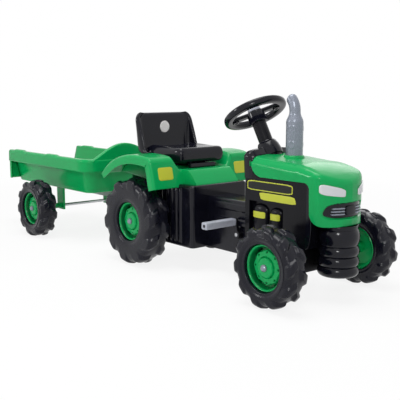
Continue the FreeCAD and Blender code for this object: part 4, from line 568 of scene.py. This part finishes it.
def drum_form():
    """A round plan, cut off at the engine housing, is carried down through a tall ring and three low ones; each
    swells as the root of a sine, the top one leaves a plain neck and the lowest one turns in to the bottom."""
    turn = np.linspace(-1, 1, 121) * np.arccos((drum_rear - drum_middle) / drum_radius)
    plan = np.stack([drum_middle + drum_radius * np.cos(turn), drum_radius * np.sin(turn)], 1)
    middle = np.array([800.0, 0.0])
    way = steps(23)
    levels, draws = [np.linspace(drum_top, ring_breaks[0], 4)], [np.full(4, neck_draw)]
    for high, low in zip(ring_breaks[:-1], ring_breaks[1:]):
        levels.append(high + (low - high) * way)
        draws.append(ring_swell * (1 - np.sin(np.pi * np.clip(way, 0.002, 0.998)) ** 0.7))
    draws[-1] = np.where(way > 0.5, foot_round * arc_drop(way * 2 - 1), draws[-1])
    level, draw = np.concatenate(levels), np.concatenate(draws)
    toward = unit(middle - plan)
    x = plan[None, :, 0] + toward[None, :, 0] * draw[:, None]
    y = plan[None, :, 1] + toward[None, :, 1] * draw[:, None]
    walls = placed(np.maximum(x, drum_rear), y, level[:, None])
    foot = walls[-1] + (np.append(middle, ring_breaks[-1]) - walls[-1]) * steps(6)[:, None, None]
    return np.concatenate([walls, foot[1:]])


moulding("radiator_drum_skin", [drum_form()], gloss_black, "chassis", "radiator_drum", wall=3,
         inside=(790, 0, 150), crease=50)


def cheek_plate(side):
    """A flat plate on the housing's side, inside the nose band, whose lower front corner is cut round."""
    height = cheek_foot + (cheek_top - cheek_foot) * steps(24)[:, None]
    reach = cheek_front - cheek_cut_width * arc_drop((cheek_foot + cheek_cut_height - height) / cheek_cut_height)
    return placed(cheek_rear + (reach - cheek_rear) * steps(9), side * cheek_side, height)


moulding("engine_cheeks", [cheek_plate(1), cheek_plate(-1)], gloss_black, "chassis", wall=2.5, inside=(790, 0, 250))

# Steering wheel: black, moulded in one, with a flattened grip, two broad spokes with screw bosses under them
# and a deep hub. It is pinned to the shaft; the silver horn button sits in a well in the hub.
wheel_centre = np.array([487.5, 0.0, 523.0])
wheel_tilt = np.radians(29.8)
wheel_fore = np.array([np.cos(wheel_tilt), 0, np.sin(wheel_tilt)])
wheel_up = np.array([-np.sin(wheel_tilt), 0, np.cos(wheel_tilt)])
grip_reach, grip_half, grip_rise, boss_reach = 87, 14, 11, 66
spoke_start, spoke_length, spoke_turn = 20, 66, np.radians(45)


def on_wheel(fore, side, up):
    """Places in the wheel's own leaning plane, turned into the tractor's frame."""
    fore, side, up = np.broadcast_arrays(fore, side, up)
    return wheel_centre + fore[..., None] * wheel_fore + side[..., None] * np.array([0, 1, 0]) \
        + up[..., None] * wheel_up


def on_spokes(out, aside, up):
    """Places along and beside the line of the spokes, which is turned in the wheel's plane."""
    return on_wheel(out * np.sin(spoke_turn) + aside * np.cos(spoke_turn),
                    out * np.cos(spoke_turn) - aside * np.sin(spoke_turn), up)


def squared(turn, power):
    """The cosine and sine of a turn, their sizes raised to a power that squares off the circle."""
    return (np.sign(part) * np.abs(part) ** power for part in (np.cos(turn), np.sin(turn)))


def grip_form():
    """A squared-off ellipse carried round a circle."""
    around = circle(144)[:, None]
    wide, tall = squared(circle(36), 0.7)
    reach = grip_reach + grip_half * wide
    return on_wheel(reach * np.cos(around), reach * np.sin(around), grip_rise * tall), True, True, 0


def spoke_form(side):
    """A rounded bar from the hub out into the grip that widens on the way; both ends close to a point."""
    way = np.concatenate([[0], steps(24), [1]])[:, None]
    shut = np.concatenate([[0], np.ones(24), [0]])[:, None]
    wide, tall = squared(circle(36), 0.5)
    return on_spokes(side * (spoke_start + spoke_length * way), wide * (13 + 6 * way ** 2) * shut,
                     tall * 6 * shut - 1.5), False, True, 0


def turned(radius, up, out=0.0, closed=False):
    """A profile of radii and heights turned round an axis that stands square on the wheel's plane, on the line of
    the spokes; a closed profile comes back to its start."""
    around = circle(64)
    radius, up = np.asarray(radius, float)[:, None], np.asarray(up, float)[:, None]
    return on_spokes(out + radius * np.cos(around), radius * np.sin(around), up), closed, True, 0


bosses = [turned([0, 4.5, 5, 9.5, 11, 11, 0], [-7, -7, -12, -12, -10.5, 4, 4], side * boss_reach)
          for side in (1, -1)]
wheel_hub = turned([0, 26, 28, 28, 27, 24.5, 21, 21, 0], [-36, -36, -34, -1, 2, 3, 3, -7, -7])
moulding("steering_wheel_skin", [grip_form(), spoke_form(1), spoke_form(-1), wheel_hub, *bosses], gloss_black,
         "steering_gear", "steering_wheel", crease=40)
button = turned([0, 20.4, 20.4, 19.6, 17.6, 12, 6, 0], [-3, -3, 13, 15.6, 17.4, 19.2, 20, 20.2])
moulding("horn_button_skin", [button], pedal_silver, "horn", "horn_button", crease=50)
column_collar = turned([22.8, 25.5, 28, 30, 32, 34, 36, 38, 38, 22.8],
                       [-99.5, -100, -102, -105.5, -111, -116.5, -126, -140, -150, -150], closed=True)
moulding("column_collar", [column_collar], gloss_black, "chassis", crease=40)

# Exhaust: a silver-grey stack with a wide silencer, a shoulder and a pipe that bends back to a round end,
# blow-moulded in one and pushed into a flared green collar on the bonnet.
stack_x, stack_foot, stack_radius, pipe_radius, dome_depth = 653.5, 397.0, 25.5, 16.5, 12
silencer_rows, mark_heights, mark_turn, mark_radius = 52, (38, 84), np.radians(68), 9


def exhaust_form():
    """A radius along a path that climbs and then turns back on an arc and shuts in a dome. Two moulded rings stand
    on each flank, as a bell curve of the distance from a circle on the wall."""
    dome = dome_depth * np.sin(quarter(10))
    along = np.concatenate([[0, 0], np.linspace(3, 104, silencer_rows), np.arange(107, 132, 4),
                            np.arange(139, 164, 8), 174 + dome])
    radius = np.concatenate([[0, 25], np.full(silencer_rows, stack_radius), [25.1, 24, 22.2, 20.2, 18.4, 17.1, 16.6],
                             np.full(4, pipe_radius), pipe_radius * (1 - arc_drop(dome / dome_depth))])
    straight, bend = 136.0, 52.0
    turn = np.clip((along - straight) / bend, 0, None)
    x = stack_x - bend * (1 - np.cos(turn))
    z = stack_foot + np.minimum(along, straight) + bend * np.sin(turn)
    angle = circle(144)
    reach = radius[:, None]
    for height in mark_heights:
        for facing in (-mark_turn, mark_turn):
            aside = stack_radius * ((angle - facing + np.pi) % (2 * np.pi) - np.pi)
            away = np.hypot(aside[None, :], along[:, None] - height)
            mark = 1.1 * np.exp(-((away - mark_radius) / 2.2) ** 2)
            reach = reach + mark * (np.arange(len(along)) < silencer_rows + 2)[:, None]
    out_x, out_z = np.cos(turn)[:, None], np.sin(turn)[:, None]
    return placed(x[:, None] + reach * np.cos(angle) * out_x, reach * np.sin(angle),
                  z[:, None] + reach * np.cos(angle) * out_z), False, True, 0


def collar_form():
    """A flared profile of radii and heights turned round the stack's axis."""
    radius = np.array([26, 34.5, 33, 30.5, 28.6, 26.2, 26, 26])[:, None]
    height = np.array([-12, -12, -2, 3, 6, 7, 5, -12])[:, None]
    angle = circle(64)
    return placed(stack_x + radius * np.cos(angle), radius * np.sin(angle), stack_foot + height), False, True, 0


moulding("exhaust_skin", [exhaust_form()], silver_plastic, "chassis", "exhaust_stack")
moulding("exhaust_collar", [collar_form()], gloss_green, "chassis")

# Rear fender: one green moulding of two wheel arches with turned-in lips, a deck between them that drops a
# little in front of the seat and a sloping front panel. It is screwed to the black seat box, and a black bar
# across the deck stops the seat.
arch_corners = [(-59.5, 305), (-28, 333), (15, 358), (65, 374), (118, 382), (165, 381.5), (202, 379),
                (232, 372), (240, 345), (248, 310), (256.3, 276)]
arch = spaced(eased(arch_corners), 120)
fender_inner, fender_face, fender_roll, fender_lip = 133, 224, 9, 22
tail_x, tail_foot, apron_x, apron_foot, apron_lean = 1.5, 285, 238.5, 276, 19
lean_top, lean_fall = 350, 79
deck_height, deck_drop, drop_x, drop_run = 340, 7, 185, 20
panel_half, panel_top, panel_foot, panel_lip = 98, 262, 313, 281


def arch_form(side):
    """The arch line carried across the wheel, rolled over at the outer face by a quarter turn and drawn in
    towards the axle as a lip; the lip tapers to the tip."""
    lean = unit(np.gradient(arch, axis=0))
    inward = np.stack([lean[:, 1], -lean[:, 0]], 1)
    lip = (fender_lip * ramp((np.arange(len(arch)) / len(arch) + 0.22) / 0.34))[:, None]
    bend = quarter(9)[None, 1:]
    depth = np.concatenate([0 * lip * steps(14), fender_roll * (1 - np.cos(bend)) + 0 * lip,
                            fender_roll + lip * steps(9)[1:]], 1)
    top = np.linspace(fender_inner, fender_face - fender_roll, 14)
    y = np.concatenate([top, fender_face - fender_roll + fender_roll * np.sin(bend[0]), np.full(8, fender_face)])
    return placed(arch[:, :1] + inward[:, :1] * depth, side * y, arch[:, 1:] + inward[:, 1:] * depth)


def cheek_form(side):
    """The inner wall: straight lines from the arch down to the chord between its tip and its foot."""
    chord = arch[:1] + (arch[-1:] - arch[:1]) * steps(len(arch))[:, None]
    drop = steps(12)[None, :, None]
    flat = arch[:, None, :] * (1 - drop) + chord[:, None, :] * drop
    return placed(flat[..., 0], side * fender_inner, flat[..., 1])


def deck_form():
    """Lines run up the tail board, forward over the deck, round the front edge and down the apron. Across, the
    deck climbs in a soft S to the arches; inside two creases the lines go on to a panel that slopes forward."""
    y = np.linspace(-fender_inner, fender_inner, 213)[None, :]
    climb = ramp((np.abs(y) - panel_half) / (fender_inner - panel_half))
    arch_rows = arch[:np.argmax(arch[:, 0] > apron_x - 4)]

    def deck(x):
        flat = deck_height - deck_drop * ramp((x - drop_x) / drop_run)
        return flat + (np.interp(x, arch_rows[:, 0], arch_rows[:, 1]) - flat) * climb

    edge = 12 + 20 * climb
    rise, run = steps(10)[:, None], steps(60)[1:, None]
    bend, fall = quarter(9)[1:, None], steps(22)[1:, None]
    run_x = tail_x + (apron_x - edge - tail_x) * run
    front_top = deck(apron_x - edge) - edge
    x = np.concatenate([tail_x + 0 * rise * y, run_x, apron_x - edge + edge * np.sin(bend),
                        apron_x + 0 * fall * y])
    z = np.concatenate([tail_foot + (deck(tail_x + 0 * y) - tail_foot) * rise, deck(run_x),
                        front_top + edge * np.cos(bend), front_top + (apron_foot - front_top) * fall])
    x = x + apron_lean * np.clip((lean_top - z) / lean_fall, 0, 1) * ramp((x - 200) / 38)
    front = deck_height - deck_drop
    slope = spaced(eased([(panel_top, front), (panel_top + 12, front), (panel_foot, 290),
                          (panel_foot + 3, panel_lip)]), len(bend) + len(fall) + 1)[1:]
    panel_run = tail_x + (panel_top - tail_x) * run
    panel_x = np.concatenate([tail_x + 0 * rise, panel_run, slope[:, :1]])
    panel_z = np.concatenate([tail_foot + (deck_height - tail_foot) * rise,
                              deck_height - deck_drop * ramp((panel_run - drop_x) / drop_run), slope[:, 1:]])
    panel = ramp((panel_half - np.abs(y)) / 5)
    return placed(x + (panel_x - x) * panel, y, z + (panel_z - z) * panel)


moulding("rear_fender_skin", [arch_form(1), arch_form(-1), cheek_form(1), cheek_form(-1), deck_form()],
         gloss_green, "chassis", "rear_fender", wall=3)
stop_low, stop_high = np.array([224.0, -55, 333.5]), np.array([238.0, 55, 348.6])
moulding("seat_rail_stop", [bar_form(stop_low, stop_high)], gloss_black, "chassis", crease=40)

# Seat: a glossy black bucket, blow-moulded as one hollow form with a thick pan, raised sides and a backrest
# whose wings wrap forward. It is bolted to the slider.
pan_height, pan_underside, pan_half, pan_dish, pan_side_lift = 376.5, 349.6, 102, 6, 9
backrest_foot, backrest_top, backrest_round = 400, 515, 31
backrest_flat, backrest_corner, backrest_wing = 93, 24, 22
pan_thick, backrest_thick = 26.5, 8.5


def seat_form():
    """A middle line runs back along the pan and up the backrest. Across it the pan lifts at its sides, and the
    backrest is a U: flat, round a corner and forward as a wing that gets shallower with height. Both faces stand
    off this sheet along its normal, by half a thickness that runs out along a root curve at every edge."""
    line = spaced(eased([(236, pan_height), (150, pan_height), (54, pan_height), (22, 381), (15, 402), (13, 440),
                         (11, backrest_top)]), 110)
    level, way = line[:, 1:], steps(110)[:, None]
    across = np.linspace(-1, 1, 121)[None, :]
    across = np.sign(across) * (1 - (1 - np.abs(across)) ** 1.3)
    back = ramp((way - 0.47) / 0.12)
    wing_start = backrest_flat + backrest_corner * np.pi / 2
    girth = np.abs(across) * (wing_start + backrest_wing)
    bend = np.clip((girth - backrest_flat) / backrest_corner, 0, np.pi / 2)
    back_y = np.minimum(girth, backrest_flat) + backrest_corner * np.sin(bend)
    back_x = backrest_corner * (1 - np.cos(bend)) + np.clip(girth - wing_start, 0, None)
    climb = np.clip((level - backrest_foot) / (backrest_top - backrest_foot), 0, 1)
    pan_reach = pan_half - 10 * np.clip((0.1 - way) / 0.1, 0, 1) ** 2
    narrow = 1 - 0.26 * arc_drop(np.minimum((level - backrest_top + backrest_round) / backrest_round, 0.999))
    y = (1 - back) * pan_reach * across + back * np.sign(across) * back_y * narrow
    x = line[:, :1] + back * back_x * (1 - 0.9 * climb ** 1.3)
    z = level + pan_side_lift * (1 - back) * np.abs(across) ** 5 * ramp((way - 0.1) / 0.3)
    sheet = placed(x, y, z)
    normal = unit(np.cross(np.gradient(sheet, axis=1), np.gradient(sheet, axis=0)))
    ends = (1 - np.clip((0.05 - way) / 0.05, 0, 1) ** 3) ** 0.4 * (1 - arc_drop((way - 0.965) / 0.035))
    thick = (pan_thick + (backrest_thick - pan_thick) * back) * ends * (1 - np.abs(across) ** 16) ** 0.4
    dish = pan_dish * (1 - back) * (1 - across ** 2) * np.sin(np.pi * np.clip(way / 0.6, 0, 1))
    faces = []
    for turn in (1, -1):
        face = sheet + normal * (thick * turn)[..., None]
        face[..., 2] = np.maximum(face[..., 2] - dish * (turn > 0), pan_underside)
        faces.append(face)
    return faces


moulding("seat_bucket", seat_form(), gloss_black, "sliding_seat", "seat", crease=60)

# Trailer tub: a green tray with tapered walls, a broad turned-down rim round three sides, an open tail with
# ears and an arched headboard, moulded in one and bolted over the axle brackets.
tub_tail, tub_floor, tub_rim, tub_corner = -887.5, 192, 330, 40
floor_half, floor_front, floor_roll, side_flare, front_flare = 130, -302.5, 8, 34, 50
rim_half, rim_front, rim_bead, rim_width, rim_roll, rim_drop = 164, -252.5, 4, 10, 7, 39
board_x, board_foot, board_half, board_roll, board_flange = -234.5, 322, 146, 5, 12
bow_foot, bow_rise, bow_half = 329, 61, 150
ear_foot, ear_edge, ear_flange = 207, 182, 14
rim_pads, rim_pad_rise, rim_pad_inner = ((-850, -760), (-560, -470)), 4, 150


def tub_plan(half, front, corner):
    """A U-shaped outline from the tail along one side, round two corners and back to the tail."""
    side_x = np.linspace(tub_tail, front - corner, 46)
    bend = quarter(14)[1:]
    front_y = np.linspace(half - corner, 0, 16)[1:]
    x = np.concatenate([side_x, front - corner + corner * np.sin(bend), np.full(len(front_y), front)])
    y = np.concatenate([np.full(len(side_x), half), half - corner + corner * np.cos(bend), front_y])
    return mirrored(np.stack([x, y], -1), [1, -1])


def tub_form():
    """Each row is the outline at one level: from a spine out over the floor, up the wall, over the rolled rim
    and down the rim's outer band, which flares a little."""
    floor_turn, bead_turn, roll_turn = quarter(6), quarter(5), quarter(8)[1:]
    wall, band = np.linspace(0.06, 0.97, 22)[1:], steps(8)[1:]
    draw, bead = -floor_roll * (1 - np.sin(floor_turn)), rim_bead * (1 - np.cos(bead_turn))
    out = np.concatenate([rim_width + rim_roll * np.sin(roll_turn), rim_width + rim_roll + band])
    half = np.concatenate([floor_half + draw, floor_half + side_flare * wall, rim_half - 1 + bead, rim_half + out])
    front = np.concatenate([floor_front + draw, floor_front + front_flare * wall, rim_front - 1.5 + bead,
                            rim_front + out])
    corner = tub_corner + np.concatenate([draw, 0 * wall, bead, out])
    height = np.concatenate([tub_floor + floor_roll * (1 - np.cos(floor_turn)),
                             tub_floor + (tub_rim - tub_floor) * wall,
                             tub_rim - rim_bead + rim_bead * np.sin(bead_turn),
                             tub_rim - rim_roll * (1 - np.cos(roll_turn)), tub_rim - rim_roll - rim_drop * band])
    plans = np.stack([tub_plan(*level) for level in zip(half, front, corner)])
    spine = np.stack([np.minimum(plans[0, :, 0], -420), 0 * plans[0, :, 1]], -1)
    floors = spine + (plans[0] - spine) * steps(12)[:-1, None, None]
    points = np.concatenate([placed(floors[..., 0], floors[..., 1], tub_floor),
                             placed(plans[..., 0], plans[..., 1], height[:, None])])
    for pad_rear, pad_front in rim_pads:
        pad = ramp((points[..., 0] - pad_rear) / 10) * ramp((pad_front - points[..., 0]) / 10)
        pad = pad * ramp((points[..., 2] - tub_rim + 9) / 6) * (np.abs(points[..., 1]) > rim_pad_inner)
        points[..., 2] += rim_pad_rise * pad
    return points


def headboard_form():
    """A bow over the front rim: plate lines rise to the bow, and its edge rolls back into a narrow flange."""
    y = np.linspace(-board_half, board_half, 97)[None, :]
    bow = bow_foot + bow_rise * (0.5 + 0.5 * np.cos(np.pi * y / bow_half)) ** 0.6
    plate_top = bow - board_roll
    rise, bend, run = steps(16)[:, None], quarter(6)[1:, None], steps(5)[1:, None]
    z = np.concatenate([board_foot + (plate_top - board_foot) * rise, plate_top + board_roll * np.sin(bend),
                        bow + 0 * run])
    back = np.concatenate([0 * rise, board_roll * (1 - np.cos(bend)), board_roll + board_flange * run])
    return placed(board_x - back, y, z)


def ear_form(side):
    """The tail's upright flange between the wall and the rim band, with a narrow return along its outer edge."""
    z = np.linspace(ear_foot, tub_rim, 24)[:, None]
    wall_y = floor_half + side_flare * (z - tub_floor) / (tub_rim - tub_floor)
    across, back = steps(9), steps(5)[1:]
    y = np.concatenate([wall_y + (ear_edge - wall_y) * across, ear_edge + 0 * z * back], 1)
    return placed(tub_tail + np.concatenate([0 * across, ear_flange * back]), side * y, z)


moulding("trailer_tub_skin", [tub_form()], gloss_green, "trailer", "trailer_tub", wall=3.5, inside=(-560, 0, 300))
moulding("trailer_headboard", [headboard_form()], gloss_green, "trailer", wall=3.5, inside=(-260, 0, 330))
moulding("trailer_ears", [ear_form(1), ear_form(-1)], gloss_green, "trailer", wall=3.5, inside=(-800, 0, 260))

# Plain labels: printed film, die-cut and stuck on flat places, with no lettering: a bordered plate and a slanting
# bar on each engine side, a band on each filter can, a plate on each arch front and a disc on the backrest.
label_yellow = plastic("label_yellow", "lamp_white", (0.58, 0.62, 0.045), 0.3, 0.42, 0.03, 0.4, flow=0.06)
label_black = plastic("label_black", "black_plastic", (0.006, 0.006, 0.006), 0.3, 0.42, 0.03, 0.3, flow=0.1)
label_white = plastic("label_white", "lamp_white", (0.88, 0.85, 0.85), 0.3, 0.42, 0.03, 0.4, flow=0.03)
engine_side, can_side, can_bulge, cans = 95, 79, 14, ((599.5, 32), (664.5, 25))
disc_x, disc_height, disc_radius, backrest_lean = 21.3, 464, 21, 0.027


def film(outline, place, lift):
    """A sheet inside an outline: rings from the outline in to its middle, standing off the surface by the film's
    thickness, with a short edge down to it; place turns (along, up, off) into the tractor's frame."""
    outline = spaced(np.vstack([outline, outline[:1]]), 97)[:-1]
    middle = outline.mean(0)
    shares = np.array([0, 1, 1, 0.985, 0.8, 0.6, 0.4, 0.2, 0])[:, None, None]
    flat = middle + (outline - middle) * shares
    off = np.array([0, 0, 0.7, 1, 1, 1, 1, 1, 1])[:, None] * lift
    return place(flat[..., 0], flat[..., 1], off), False, True, 0


def slanted(low, high, bottom, top, lean=0):
    """Corners of a bar whose ends lean, cut round."""
    corners = np.array([(low + lean, bottom), (high + lean, bottom), (high, top), (low, top)], float)
    closed = np.vstack([corners, corners[:1]])
    along = np.linspace(0.1, 0.9, 9)[None, :, None]
    return eased((closed[:-1, None] + (closed[1:, None] - closed[:-1, None]) * along).reshape(-1, 2))


yellow_films, black_films = [], []
for side in (1, -1):
    def on_engine(along, up, off, side=side):
        """Flat on the engine housing's side."""
        return placed(along, side * (engine_side + off), up)

    yellow_films.append(film(slanted(555, 737, 300, 329), on_engine, 0.4))
    black_films.append(film(slanted(558, 734, 303, 326), on_engine, 0.7))
    yellow_films.append(film(slanted(604, 744, 274, 296, 8), on_engine, 0.4))
    for can_x, can_radius in cans:
        def on_can(along, up, off, side=side, can_x=can_x, can_radius=can_radius):
            """Wrapped on the bowed front of a filter can."""
            bow = 1 - arc_drop(np.abs(along - can_x) / can_radius)
            return placed(along, side * (can_side + can_bulge * bow + 0.6 + off), up)

        reach = can_radius * 0.78
        yellow_films.append(film(slanted(can_x - reach, can_x + reach, 218, 237), on_can, 0.4))

    def on_arch(along, up, off, side=side):
        """On the leaning front face of a wheel arch."""
        face = arch[len(arch) // 2:][::-1]
        return placed(np.interp(up, face[:, 1], face[:, 0]) + off, side * along, up)

    yellow_films.append(film(slanted(138, 197, 303, 344), on_arch, 0.5))
moulding("yellow_labels", yellow_films, label_yellow, "chassis")
moulding("black_labels", black_films, label_black, "chassis")


def on_backrest(along, up, off):
    """On the leaning front of the backrest."""
    return placed(disc_x - (up - disc_height) * backrest_lean + off, along, up)


disc_turn = circle(48)
disc = np.stack([disc_radius * np.cos(disc_turn), disc_height + disc_radius * np.sin(disc_turn)], 1)
moulding("seat_label", [film(disc, on_backrest, 0.5)], label_white, "sliding_seat")

# Everything else keeps its imported shape: the black engine housing, silver wheel caps, zinc-plated rods and
# steel arms and beams. Each takes the finish of its slot, except the crank arms, front axle beam and knuckles, which
# take a near-black steel.
satin_black = plastic("satin_black", "black_plastic", (0.0038, 0.0038, 0.0065), 0.17, 0.28, 0.06, 0.18, flow=0.2)
drawn_steel = {"flow": 0.12, "peel_scale": 900, "metal": 0.9}
zinc = plastic("zinc", "steel", (0.50, 0.51, 0.53), 0.28, 0.48, 0.14, 0.5, **drawn_steel)
near_black_steel = plastic("near_black_steel", "steel", (0.03, 0.03, 0.034), 0.26, 0.4, 0.14, 0.5, **drawn_steel)
near_black_steel_nodes = ("crank_arm_left", "crank_arm_right", "front_axle_beam", "knuckle_left", "knuckle_right")
slot_finish = {slot: material for material, slot in (gloss_green, tyre_black, satin_black, silver_plastic, zinc,
                                                     lamp_white)}
slot_of = {part["node"]: part["material_slot"] for part in frame["record"]["subparts"]}
for node, piece in frame["nodes"].items():
    for place in piece.material_slots:
        place.material = near_black_steel[0] if node in near_black_steel_nodes else slot_finish[slot_of[node]]
